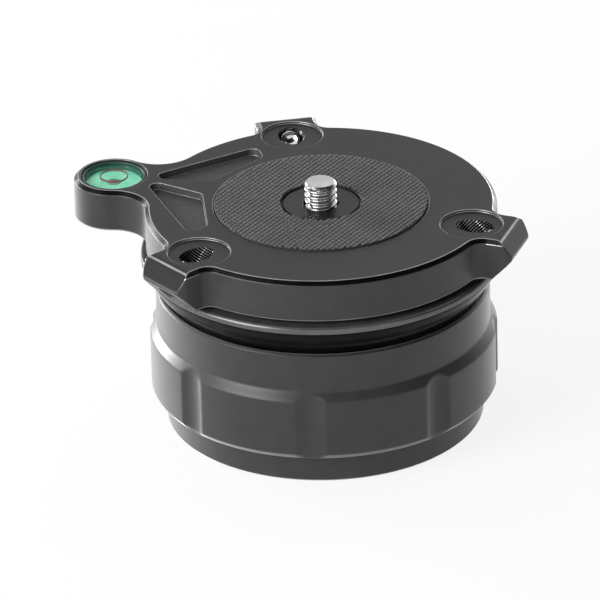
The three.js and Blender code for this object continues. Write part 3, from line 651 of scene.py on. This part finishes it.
def makeLockRing(spec):
    centre = spec["grip"] + spec["fluteCutter"] - spec["fluteDepth"]
    soft = spec["fluteSoft"]
    inside, above = spec["fluteZone"]

    def flutedRadius(radius, height, angle):
        if radius < spec["band"] - inside or height > spec["bandFrom"] + above:
            return radius
        offsets = (((math.degrees(angle) - flute + 180) % 360) - 180 for flute in spec["flutes"])
        delta = math.radians(min(offsets, key=abs))
        under = spec["fluteCutter"] ** 2 - (centre * math.sin(delta)) ** 2
        if under <= 0:
            return radius
        # the smaller of the two radii, with a soft step between them
        cut = centre * math.cos(delta) - math.sqrt(under)
        h = max(soft - abs(cut - radius), 0) / soft
        return min(cut, radius) - h * h * soft / 4

    ring = dress(lathe("lock_ring_body", lockProfile(spec), steps=720, warp=flutedRadius), "anodisedTurned")
    finishPiece(ring, "lock", ("lock_ring",))


makeLockRing(lock)
report("lock ring")


# Half ball under the platform

ball = {
    "pivot": 53.0, "radius": 40.14, "inner": 32.44, "hole": 15.77, "lipBottom": 34.31, "lipTop": 35.56,
    "lipRound": 0.85, "coneTop": (31.15, 35.85), "top": 36.15, "thread": 28.89, "ledge": 32.73,
}


def makeHalfBall(spec):
    pivot, lipBottom = spec["pivot"], spec["lipBottom"]

    def on(sphere, fromRadius, toRadius, count):
        a, b = math.asin(fromRadius / sphere), math.asin(toRadius / sphere)
        turns = [a + (b - a) * k / count for k in range(count + 1)]
        return [(sphere * math.sin(t), pivot - sphere * math.cos(t)) for t in turns]

    def radiusAt(sphere, height):
        return math.sqrt(sphere ** 2 - (pivot - height) ** 2)

    lip = radiusAt(spec["radius"], lipBottom)
    ledge = radiusAt(spec["inner"], spec["ledge"])
    coneRadius, coneTop = spec["coneTop"]
    rest = softened([
        (lip, lipBottom, fine), (lip, spec["lipTop"], spec["lipRound"]), (coneRadius, coneTop, eased),
        (coneRadius, spec["top"], crisp), (spec["thread"], spec["top"]), (spec["thread"], spec["ledge"]),
    ], closed=False)
    outside = on(spec["radius"], spec["hole"], lip, count=48)
    inside = on(spec["inner"], ledge, spec["hole"], count=24)
    half = dress(lathe("half_ball_body", outside[:-1] + rest + inside, steps=256), "gloss", "lipHighlight")
    # above the lip's foot the ball takes the brighter copy: a painted highlight on the lip
    for face in half.data.polygons:
        face.material_index = 1 if face.center.z > lipBottom * mm else 0
    finishPiece(half, "head", ("half_ball",))


makeHalfBall(ball)
report("half ball")


# Platform: drawn with its arm along +X, then turned

armTurn = 160.0
plate = {
    "bottom": 36.45, "top": 45.0, "radius": 34.46, "topEdge": 0.85, "bottomEdge": 0.3, "softEdge": 0.11,
    "chamferEdge": 0.154,
    "boss": (43.27, 7.95), "armFillet": 6.84,
    "lobe": {
        "turns": (60.0, 180.0, 300.0), "half": 6.16, "fillet": 2.56, "corner": 2.22, "from": 36,
        "reach": 41.3, "top": 38.99, "drop": 3.93, "foot": 36.94, "topRound": 2.2, "tip": 1.3,
        "ridge": 0.3, "ridgeFrom": 37.45,
    },
    "counterbore": (31.04, 6.16, 0.51),
    "hole": {"distance": 31.64, "lean": -45, "major": 2.82, "minor": 2.57, "pitch": 0.5, "from": -15.0,
             "to": 3.5, "rowsPerTurn": 8, "crestBand": 0.04},
    "pad": (21.16, 0.68), "disc": (7.8, 2.4), "neck": 5.8, "vial": (6.63, 7.31),
    "spigot": (25.77, 28.59, 33.03),
    "pocket": {"depth": 1.5, "corner": 1.6, "inner": 23.51, "from": 10.0, "to": 38.8,
               "outer": (26.76, 39.9), "tip": (33.18, 2.56, 1.54)},
}


def lobeWays(spec):
    return [Vector((*polar(1, turn), 0)) for turn in spec["lobe"]["turns"]]


def plateArcs(spec):
    # arcs of (kind, centre, radius, from, to), anticlockwise round the platform
    distance, bossRadius = spec["boss"]
    disc, fillet = spec["radius"], spec["armFillet"]
    a, b = disc + fillet, bossRadius + fillet
    fx = (a * a - b * b + distance * distance) / (2 * distance)
    fy = math.sqrt(a * a - fx * fx)
    onBoss = math.degrees(math.atan2(fy, fx - distance))
    onDisc = math.degrees(math.atan2(fy, fx))
    arcs = [("full", distance, 0, bossRadius, 0, onBoss),
            ("hollow", fx, fy, fillet, onBoss - 180, onDisc - 180)]
    start = onDisc
    lobe = spec["lobe"]
    half, corner, root = lobe["half"], lobe["corner"], lobe["fillet"]
    ly = half + root
    lx = math.sqrt((disc + root) ** 2 - ly ** 2)
    lobeAngle = math.degrees(math.atan2(ly, lx))
    cx, cy = lobe["reach"] - corner, half - corner
    for turn in lobe["turns"]:
        arcs.append(("full", 0, 0, disc, start, turn - lobeAngle))
        for kind, x, y, r, a, b in (
            ("hollow", lx, -ly, root, 180 - lobeAngle, 90), ("full", cx, -cy, corner, -90, 0),
            ("full", cx, cy, corner, 0, 90), ("hollow", lx, ly, root, -90, lobeAngle - 180),
        ):
            px, py = polar(math.hypot(x, y), math.degrees(math.atan2(y, x)) + turn)
            arcs.append((kind, px, py, r, a + turn, b + turn))
        start = turn + lobeAngle
    arcs.append(("full", 0, 0, disc, start, 360 - onDisc))
    arcs.append(("hollow", fx, -fy, fillet, 180 - onDisc, 180 - onBoss))
    arcs.append(("full", distance, 0, bossRadius, 360 - onBoss, 360))
    return arcs


arcSteps = ((20, 2.0), (4, 6.0), (0, 12.0))     # above this radius, this many degrees from point to point


def plateOutline(spec, inset, same=0.02):
    # full arcs shrink with the inset and hollow ones grow
    points = []
    for kind, x, y, radius, a, b in plateArcs(spec):
        r = radius - inset if kind == "full" else radius + inset
        step = next(degrees for least, degrees in arcSteps if radius > least)
        points += arc(x, y, r, a, b, step)
    clean = []
    for point in points:
        if not clean or math.dist(point, clean[-1]) > same:
            clean.append(point)
    if math.dist(clean[0], clean[-1]) < same:
        clean.pop()
    return clean


def pocketOutline(spec, side):
    corner, inner = spec["corner"], spec["inner"]
    centres = [(*polar(inner + corner, spec["from"]), corner), spec["tip"],
               (*polar(*spec["outer"]), corner), (*polar(inner + corner, spec["to"]), corner)]

    def tangent(a, b):
        lean = math.acos((a[2] - b[2]) / math.dist(a[:2], b[:2]))
        return math.degrees(math.atan2(b[1] - a[1], b[0] - a[0]) - lean)

    points = []
    for i, (x, y, r) in enumerate(centres):
        a = tangent(centres[i - 1], centres[i])
        b = tangent(centres[i], centres[(i + 1) % len(centres)])
        points += arc(x, y, r, a, a + (b - a) % 360, 12.0)
    return points if side > 0 else [(x, -y) for x, y in points][::-1]


def onHoleAxis(obj, spec, turn):
    # from upright at the origin to the axis of the sloping hole in the lobe at that turn
    hole = spec["hole"]
    shifted(obj, lean=hole["lean"])
    shifted(obj, hole["distance"], 0, spec["top"] - spec["counterbore"][2])
    return shifted(obj, turn=turn)


def lobeCutter(spec, turn, above=2, beside=6, ends=3, undercut=(1.6, 1.7)):
    # takes away what lies outside a lobe's sloping face and its foot
    lobe, top, bottom = spec["lobe"], spec["top"], spec["bottom"]
    inward, down = undercut
    section = softened([
        (lobe["top"] - beside, top + above), (lobe["top"] - beside, top),
        (lobe["top"], top, lobe["topRound"]),
        (lobe["reach"], top - lobe["drop"], lobe["tip"]), (lobe["foot"], bottom, broken),
        (lobe["foot"] - inward, bottom - down), (lobe["reach"] + beside, bottom - down),
        (lobe["reach"] + beside, top + above),
    ], pieces=5)
    cutter = prism("lobe", section, -lobe["half"] - ends, lobe["half"] + ends)
    cutter.data.transform(Matrix.Rotation(math.pi / 2, 4, "X"))
    return shifted(cutter, turn=turn)


def isRidge(edge, spec, ways, leastTilt=0.25, inLine=0.97, upright=0.2, endOn=0.9):
    # an edge between a lobe's sloping face, which looks along the lobe, and its side wall
    lobe = spec["lobe"]
    middle = (edge.verts[0].co + edge.verts[1].co) / 2
    if len(edge.link_faces) != 2 or middle.z < lobe["ridgeFrom"] * mm:
        return False
    wall, slope = sorted(edge.link_faces, key=lambda face: abs(face.normal.z))
    way = max(ways, key=lambda w: w.dot(middle))
    flat = Vector((slope.normal.x, slope.normal.y, 0))
    facesOut = flat.length > leastTilt and flat.normalized().dot(way) > inLine
    isSide = abs(wall.normal.z) < upright and abs(wall.normal.dot(way)) < endOn
    return facesOut and isSide and way.dot(middle) > lobe["from"] * mm


plateLooks = ("anodised", "edgeWearAndHighlight", "anodisedSideLit", "anodisedChamferShaded", "pocketFloorPale", "anodisedSlopeShaded")


# what tells the faces apart: how level a face is (1 is level, 0 is upright), and places in mm
plateFaces = {
    "upright": 0.3, "chamfer": (0.5, 0.9), "ridgeHighlight": (0.80, 0.93), "slope": 0.97, "outward": 0.4,
    "pocketReach": (22.5, 37), "pocketAlong": 0.6, "pocketSlack": (0.05, 0.1),
}


def plateLook(face, spec, ways, limits):
    top, depth = spec["top"], spec["pocket"]["depth"]
    tilt, out, z = face.normal.z, face.normal.xy.to_3d(), face.center.z
    onLobe = (max(way.dot(face.center) for way in ways) > spec["lobe"]["from"] * mm
              and max(way.dot(out) for way in ways) > limits["outward"])
    low, high = limits["chamfer"]
    onChamfer = low < tilt < high and z > (top - spec["topEdge"]) * mm and not onLobe
    near, far = limits["pocketReach"]
    under, over = limits["pocketSlack"]
    reach = face.center.xy.length
    inPocket = ((top - depth - under) * mm < z < (top - over) * mm
                and face.center.x > limits["pocketAlong"] * reach and near * mm < reach < far * mm)
    if inPocket and not onChamfer:
        return "pocketFloorPale"
    # painted light: upright faces get the lighter copy of the finish
    if abs(tilt) < limits["upright"]:
        return "anodisedSideLit"
    # painted shade: the chamfer faces get the near-black copy of the finish
    if onChamfer:
        return "anodisedChamferShaded"
    # painted highlight: a band of the lobes' rounded ridges gets the bright edge look
    low, high = limits["ridgeHighlight"]
    if onLobe and low < tilt < high:
        return "edgeWearAndHighlight"
    # painted shade: the lobes' sloping faces get the near-black copy of the finish
    return "anodisedSlopeShaded" if onLobe and tilt < limits["slope"] else "anodised"


def holeCutter(spec, turn, count=60):
    # the sloping hole with its thread, cut through the lobe after its edges are broken
    hole = spec["hole"]
    rows = evenSteps(hole["from"], hole["to"], hole["pitch"] / hole["rowsPerTurn"])
    verts, faces = threadedTube(rows, count, lambda height, angle: threadRadius(
        height, angle, hole["pitch"], hole["major"], hole["minor"]))
    cutter = meshObject("hole", verts, faces + endFaces(len(rows), count))
    dress(cutter, "smoothBlack", "edgeWearAndHighlight")
    # the thread's crests get the bright edge look: painted highlight, partly bare worn edge
    for face in cutter.data.polygons:
        onCrest = face.center.xy.length < (hole["minor"] + hole["crestBand"]) * mm
        face.material_index = 1 if onCrest else 0
    return onHoleAxis(cutter, spec, turn)


def plateCutters(spec):
    top, turns = spec["top"], spec["lobe"]["turns"]
    above = top + past
    cutters = [lobeCutter(spec, turn) for turn in turns]
    distance, radius, depth = spec["counterbore"]
    for turn in turns:
        bore = shifted(rod("bore", radius, top - depth, above), distance)
        cutters.append(shifted(bore, turn=turn))
    padRadius, padDepth = spec["pad"]
    discRadius, discDepth = spec["disc"]
    vialRadius, vialDepth = spec["vial"]
    cutters += [
        rod("pad", padRadius, top - padDepth, above, steps=144),
        rod("disc", discRadius, top - discDepth, above),
        rod("neck", spec["neck"], spec["bottom"] - past, above, steps=72),
        shifted(rod("vial", vialRadius, top - vialDepth, above), spec["boss"][0]),
    ]
    pocket = spec["pocket"]
    return cutters + [prism("pocket", pocketOutline(pocket, side), top - pocket["depth"], above)
                      for side in (1, -1)]


def makePlatform(spec):
    bottom, top, low, high = spec["bottom"], spec["top"], spec["bottomEdge"], spec["topEdge"]
    layers = ((low, bottom), (0, bottom + low), (0, top - high), (high, top))
    body = stacked("platform_body", [(plateOutline(spec, inset), z) for inset, z in layers])
    inner, outer, foot = spec["spigot"]
    rim = bottom + past
    carve(body, [lathe("spigot", [(inner, foot), (outer, foot), (outer, rim), (inner, rim)])], "UNION")
    carve(body, plateCutters(spec))
    flatten(body)
    dress(body, *plateLooks)
    ways = lobeWays(spec)
    for face in body.data.polygons:
        face.material_index = plateLooks.index(plateLook(face, spec, ways, plateFaces))
    # the lobes' ridges, the chamfer's lower edge in the side's own finish, and then every sharp edge, whose
    # new faces get the bright edge look: painted highlight, partly bare worn edge
    breakWhere(body, spec["lobe"]["ridge"], lambda edge: isRidge(edge, spec, ways), segments=4)
    side, chamfer, bright = map(plateLooks.index, ("anodisedSideLit", "anodisedChamferShaded", "edgeWearAndHighlight"))
    breakWhere(body, spec["chamferEdge"], lambda edge: (
        sorted(face.material_index for face in edge.link_faces) == [side, chamfer]), slot=side)
    breakEdges(body, spec["softEdge"], angle=25, slot=bright)
    carve(body, [holeCutter(spec, turn) for turn in spec["lobe"]["turns"]], keepLook=True)
    finishPiece(shifted(body, turn=armTurn), "head", ("platform",))


makePlatform(plate)
report("platform")


# Friction pad with raised diamonds

pad = {
    "outer": 20.86, "inner": 7.93, "bottom": 44.62, "floor": 45.15, "top": 45.35,
    "cell": (1.15, 1.71), "gap": 0.14, "slope": 0.09, "shoulder": 0.08, "sunk": 0.05,
    "rim": 0.05, "farthest": 0.8, "mostMoved": 0.9, "smallest": 0.12,
}


def diamondRows(spec, x, y):
    # foot, shoulder and top of one diamond, pulled in where it would cross the pad's rims
    width, height = spec["cell"]
    edge = math.hypot(width / 2, height / 2) / (width * height / 2)
    shrink = 1 - spec["gap"] * edge
    topShrink = shrink - spec["slope"] * edge
    rows = []
    for scale, z in ((shrink, spec["floor"] - spec["sunk"]), (shrink, spec["top"] - spec["shoulder"]),
                     (topShrink, spec["top"])):
        row = []
        for dx, dy in ((width, 0), (0, height), (-width, 0), (0, -height)):
            px, py = x + dx / 2 * scale, y + dy / 2 * scale
            r = math.hypot(px, py)
            target = min(max(r, spec["inner"] + spec["rim"]), spec["outer"] - spec["rim"])
            if abs(target - r) > spec["mostMoved"]:
                return None
            row.append((px * target / r, py * target / r, z))
        rows.append(row)
    pairs = zip(rows[2], rows[2][1:] + rows[2][:1])
    area = sum(a[0] * b[1] - b[0] * a[1] for a, b in pairs) / 2
    return rows if area >= spec["smallest"] else None


def makePad(spec):
    inner, outer, floor = spec["inner"], spec["outer"], spec["floor"]
    disc = lathe("padDisc", softened([
        (inner, spec["bottom"]), (outer, spec["bottom"], crisp), (outer, floor, crisp), (inner, floor, crisp),
    ]), steps=160)
    # painted shade: the disc between the diamonds is the rubber made darker
    dress(disc, "rubberGrooveShade")
    width, height = spec["cell"]
    nx, ny = (2 * (int(outer / length) + 2) for length in (width, height))
    verts, faces = [], []
    for i in range(-nx, nx + 1):
        for j in range(-ny, ny + 1):
            x, y = i * width / 2, j * height / 2
            near = inner - spec["farthest"] <= math.hypot(x, y) <= outer + spec["farthest"]
            rows = diamondRows(spec, x, y) if near and (i + j) % 2 == 0 else None
            if not rows:
                continue
            start = len(verts)
            verts += [point for row in rows for point in row]
            faces += quadsBetween(start, start + 4, 4) + quadsBetween(start + 4, start + 8, 4)
            faces.append(tuple(range(start + 8, start + 12)))
    diamonds = dress(meshObject("diamonds", verts, faces), "rubber")
    whole = joined("friction_pad_body", [disc, diamonds])
    finishPiece(whole, "head", ("friction_pad",))


makePad(pad)
report("pad")


# Camera stud and its bushing

stud = {
    "crest": 3.175, "root": 2.55, "pitch": 1.27, "plainTo": 44.4, "threadFrom": 44.6, "top": 49.7,
    "tip": (0.36, 0.4), "tipCut": 0.1, "runOut": 0.5, "head": (4.2, 34.01, 35.38), "dish": (2.3, 0.92, 0.3),
}


def makeStud(spec, count=120, perTurn=16):
    crest, pitch, top, cut = spec["crest"], spec["pitch"], spec["top"], spec["tipCut"]
    headRadius, headBottom, headTop = spec["head"]
    tipInward, tipDown = spec["tip"]
    dishRadius, dishFloor, dishDepth = spec["dish"]
    threadTop, threadBottom = top - tipDown, spec["threadFrom"]
    lower = softened([(0, headBottom), (headRadius, headBottom, eased), (headRadius, headTop, eased),
                      (crest, headTop, crisp), (crest, spec["plainTo"])], closed=False)
    upper = softened([(crest - cut, threadTop), (crest - cut - tipInward, top, fine),
                      (dishRadius, top, deburred), (dishFloor, top - dishDepth, eased),
                      (0, top - dishDepth)], closed=False, pieces=5)
    verts = []
    for radius, height in lower:
        verts += ringPoints(height, count, radius)
    # the thread's rows climb with the helix, so one turn's end meets the row a turn higher
    rowCount = math.ceil((threadTop - threadBottom) / pitch * perTurn) + perTurn + 1
    first = len(lower)
    last = first + rowCount - 1
    for k in range(rowCount):
        for i in range(count):
            angle = tau * i / count
            climb = threadBottom + pitch * (k / perTurn - 1 + i / count)
            height = min(max(climb, threadBottom), threadTop)
            fade = min(1, (threadTop - height) / spec["runOut"])
            r = min(crest - cut + cut * fade, threadRadius(height, angle, pitch, crest, spec["root"], True))
            verts.append((r * math.cos(angle), r * math.sin(angle), height))
    for radius, height in upper:
        verts += ringPoints(height, count, radius)
    faces = []
    for k in range(len(verts) // count - 1):
        for i in range(count):
            j = (i + 1) % count
            a, b = k, k + 1
            if j == 0 and first <= k < last:
                a, b = min(k + perTurn, last), min(k + 1 + perTurn, last)
            faces.append((k * count + i, a * count + j, b * count + j, (k + 1) * count + i))
    obj = dress(meshObject("camera_stud_body", verts, faces), "studSteel")
    finishPiece(obj, "head", ("camera_stud",), 50)


makeStud(stud)

studDisc = {"bore": 3.475, "neck": 5.5, "radius": 7.5, "top": 45.0, "seat": 42.9, "bottom": 35.68,
            "outerEdge": 0.18, "innerEdge": 0.25}


def makeStudDisc(spec):
    bore, neck, radius, seat = spec["bore"], spec["neck"], spec["radius"], spec["seat"]
    disc = lathe("stud_bushing_body", softened([
        (bore, spec["bottom"]), (neck, spec["bottom"], broken), (neck, seat), (radius, seat, broken),
        (radius, spec["top"], spec["outerEdge"]), (bore, spec["top"], spec["innerEdge"]),
    ]), steps=128)
    finishPiece(dress(disc, "smoothBlack"), "head", ("stud_bushing",))


makeStudDisc(studDisc)
report("stud")


# Set screws: cup point up in the sloping holes, hexagon socket below

setScrew = {"crest": 2.5, "root": 2.2, "pitch": 0.5, "rowsPerTurn": 10, "length": 5.0, "inset": 2.4,
            "edge": 0.75, "topEdge": 0.08, "lead": 0.05, "cup": (1.45, 1.1), "socket": 1.25,
            "socketDepth": 2.5}


def makeSetScrew(node, body, spec, turn, count=96):
    crest, pitch, lead = spec["crest"], spec["pitch"], spec["lead"]
    top = -spec["inset"]
    bottom = top - spec["length"]
    cupRadius, cupDepth = spec["cup"]
    start = crest - spec["edge"]
    verts = ringPoints(bottom, count, 0.0) + ringPoints(bottom, count, start)
    for height in evenSteps(bottom + lead, top - lead, pitch / spec["rowsPerTurn"]):
        limit = min(crest, start + min(height - bottom, top - height) + lead)
        verts += ringPoints(height, count, lambda angle: min(limit, threadRadius(
            height, angle, pitch, crest, spec["root"])))
    cup = [(start, top, spec["topEdge"]), (cupRadius, top, deburred), (0.0, top - cupDepth)]
    for radius, height in softened(cup, closed=False):
        verts += ringPoints(height, count, radius)
    obj = meshObject(f"{node}_body", verts, tubeFaces(len(verts) // count, count))
    carve(obj, [hexRod("socket", spec["socket"], bottom - past, bottom + spec["socketDepth"])])
    shifted(onHoleAxis(obj, plate, turn), turn=armTurn)
    finishPiece(dress(obj, "stainless"), body, (node,), 35)


for index, turn in enumerate(plate["lobe"]["turns"]):
    makeSetScrew(f"set_screw_{index + 1}", f"grub_{index + 1}", setScrew, turn)
report("set screws")


# Bull's eye level

level = {
    "radius": 6.33, "inner": 5.82, "bottom": 37.99, "top": 44.74, "floor": 38.84, "paleTo": 0.6,
    "fluid": (5.52, 39.14, 43.31), "lens": (5.52, 43.61, 44.64), "lensEdge": (0.1, 0.6, 0.4),
    "bubble": (1.35, 0.6), "bubbleSide": 0.3, "bubbleFoot": 0.6, "film": 0.05, "swell": 0.12,
    "ring": (2.58, 2.82, 44.48, 44.64), "ringEdge": 0.04,
}


def makeLevelPiece(node, profile, look, closed=False, steps=128, angle=35, paleTo=None):
    # below the height paleTo a piece has its first look, and above it the second
    obj = lathe(f"{node}_body", softened(profile, closed), steps)
    dress(obj, *look)
    if paleTo:
        for face in obj.data.polygons:
            face.material_index = 0 if face.center.z < paleTo * mm else 1
    shifted(obj, plate["boss"][0])
    finishPiece(shifted(obj, turn=armTurn), "head", (node,), angle)


def makeLevel(spec):
    radius, inner, bottom, top, floor = (spec[k] for k in ("radius", "inner", "bottom", "top", "floor"))
    # the cup's rim and wall are a dark green, painted shade for the cup's shadowed inside, and its floor has
    # the fluid's own green
    makeLevelPiece("level_cup", [
        (0, bottom), (radius, bottom, eased), (radius, top, broken), (inner, top, broken),
        (inner, floor, rounded), (0, floor),
    ], ("vialGreen", "vialWallShade"), paleTo=floor + spec["paleTo"])
    # the bubble lies in a dent of the fluid's top
    radius, low, high = spec["fluid"]
    bubble, depth = spec["bubble"]
    side, film = spec["bubbleSide"], spec["film"]
    foot = bubble * spec["bubbleFoot"]
    makeLevelPiece("level_fluid", [
        (0, low), (radius, low, eased), (radius, high), (bubble + film, high),
        (bubble + film, high - side, broken), (foot, high - depth, eased), (0, high - depth),
    ], ("fluid",))
    # painted shade: the bubble's dark green stands in for the dark its edge shows
    makeLevelPiece("level_bubble", [
        (0, high - depth + film), (foot, high - depth + film, eased), (bubble, high - side, broken),
        (bubble, high, crisp), (0, high),
    ], ("bubble",), steps=64, angle=60)
    radius, low, high = spec["lens"]
    down, inward, edge = spec["lensEdge"]
    makeLevelPiece("level_lens", [
        (0, low), (radius, low), (radius, high - down, deburred), (radius - inward, high, edge),
        (0, high + spec["swell"]),
    ], ("acrylic",))
    inner, outer, low, high = spec["ring"]
    high, edge = high + spec["swell"], spec["ringEdge"]
    makeLevelPiece("level_ring", [
        (inner, low), (outer, low), (outer, high, edge), (inner, high, edge),
    ], ("targetRed",), closed=True, steps=96)


makeLevel(level)
report("level")


# Inner pieces keep their solids and get their finishes

innerLooks = {
    "column": "aluminium", "dome_bolt": "steelBlack", "spring_washer_1": "steelSpring",
    "spring_washer_2": "steelSpring", "key_pin_1": "stainless", "key_pin_2": "stainless",
    "key_pin_3": "stainless", "stop_pin": "stainless", "seat_ring": "aluminium", "seat_liner": "acetal",
    "glide_washer": "acetal", "hold_down_dome": "stainless", "friction_dish": "acetal",
    "bushing_nut": "steelBlack",
}
for name, look in innerLooks.items():
    dress(nodes[name], look)
report("inner pieces")


# Floor, world and lamps

studio = {
    "world": 0.75,
    "aim": (0, 0, 0.03),
    "lamps": [
        # place and size in metres, power in watts
        {"name": "key", "place": (-0.72, -0.52, 0.45), "size": 0.6, "power": 11.0},
        {"name": "left", "place": (-0.80, 0.60, 0.06), "size": 0.40, "power": 19.0},
        {"name": "right", "place": (0.42, 0.91, 0.04), "size": 0.40, "power": 5.0},
    ],
    "cards": [
        # size in metres, bearing and rise in degrees, distance
        {"size": (1.7, 0.9), "bearing": -66, "rise": 62, "distance": 1.0},
        {"size": (1.3, 0.8), "bearing": -8, "rise": 27, "distance": 1.1},
        {"size": (0.8, 0.6), "bearing": 176, "rise": 22, "distance": 1.1},
    ],
    "cardColours": ((0.01, 0.01, 0.01), (0.013, 0.013, 0.013)),
    "cardBlotch": 40.0,
    "floor": ((0.86, 0.86, 0.86), (0.88, 0.88, 0.88)),
    "floorBlotch": 60.0,
    "floorRadius": 1500,
    "floorDepth": 1,
    "floorSeen": 0.86,
}


def whiteWhereSeen(tree, seen, lit, share=1.0):
    # plain white for the camera, gloss and glass; lit in the usual way for the rest
    path = tree.nodes.new("ShaderNodeLightPath")
    most = path.outputs["Is Camera Ray"]
    for ray in ("Is Glossy Ray", "Is Transmission Ray"):
        most = addNode(tree, "Math", {0: most, 1: path.outputs[ray]}, 0, operation="MAXIMUM")
    white = spread(tree, most, 0, share, 0, 1)
    return addNode(tree, "MixShader", {0: white, 1: lit, 2: seen}, 0)


def makeWorld(spec):
    world = bpy.data.worlds.new("studio")
    scene.world = world
    world.use_nodes = True
    tree = world.node_tree
    tree.nodes.clear()
    seen, lit = (addNode(tree, "Background", {"Color": (1, 1, 1, 1), "Strength": strength}, 0)
                 for strength in (1, spec["world"]))
    out = tree.nodes.new("ShaderNodeOutputWorld")
    tree.links.new(whiteWhereSeen(tree, seen, lit), out.inputs["Surface"])


def makeLamp(spec, aim):
    data = bpy.data.lights.new(spec["name"], "AREA")
    data.size = spec["size"]
    data.energy = spec["power"]
    lamp = bpy.data.objects.new(spec["name"], data)
    lamp.location = spec["place"]
    lamp.rotation_euler = (Vector(aim) - Vector(spec["place"])).to_track_quat("-Z", "Y").to_euler()
    scene.collection.objects.link(lamp)


def makeFloor(spec):
    floor = rod("floor", spec["floorRadius"], -spec["floorDepth"], 0)
    material, tree, shader, where = nodeTree("floor")
    tree.nodes.remove(shader)
    lit = tree.nodes.new("ShaderNodeBsdfDiffuse")
    colourBy(tree, noise(tree, where, spec["floorBlotch"]), *spec["floor"], lit.inputs["Color"])
    seen = addNode(tree, "Emission", {"Strength": 1}, 0)
    both = whiteWhereSeen(tree, seen, lit.outputs[0], spec["floorSeen"])
    tree.links.new(both, tree.nodes["Material Output"].inputs["Surface"])
    floor.data.materials.append(material)


def makeCard(spec, colours, blotch):
    # black card out of the camera's view, which the gloss shows as its dark side
    wide, high = (length / mm / 2 for length in spec["size"])
    corners = [(-wide, -high, 0), (wide, -high, 0), (wide, high, 0), (-wide, high, 0)]
    card = meshObject("card", corners, [(0, 1, 2, 3)])
    bearing, rise = math.radians(spec["bearing"]), math.radians(spec["rise"])
    across = math.cos(rise)
    place = Vector((across * math.cos(bearing), across * math.sin(bearing), math.sin(rise)))
    card.data.transform(place.to_track_quat("Z", "Y").to_matrix().to_4x4())
    card.data.transform(Matrix.Translation(place * spec["distance"]))
    card.visible_camera = False
    material, tree, shader, where = nodeTree("card")
    colourBy(tree, noise(tree, where, blotch), *colours, shader.inputs["Base Color"])
    shader.inputs["Roughness"].default_value = 1
    shader.inputs["Specular IOR Level"].default_value = 0
    card.data.materials.append(material)


makeWorld(studio)
for lamp in studio["lamps"]:
    makeLamp(lamp, studio["aim"])
makeFloor(studio)
for card in studio["cards"]:
    makeCard(card, studio["cardColours"], studio["cardBlotch"])
scene.view_settings.view_transform = "Standard"
report("studio")

bpy.context.view_layer.update()
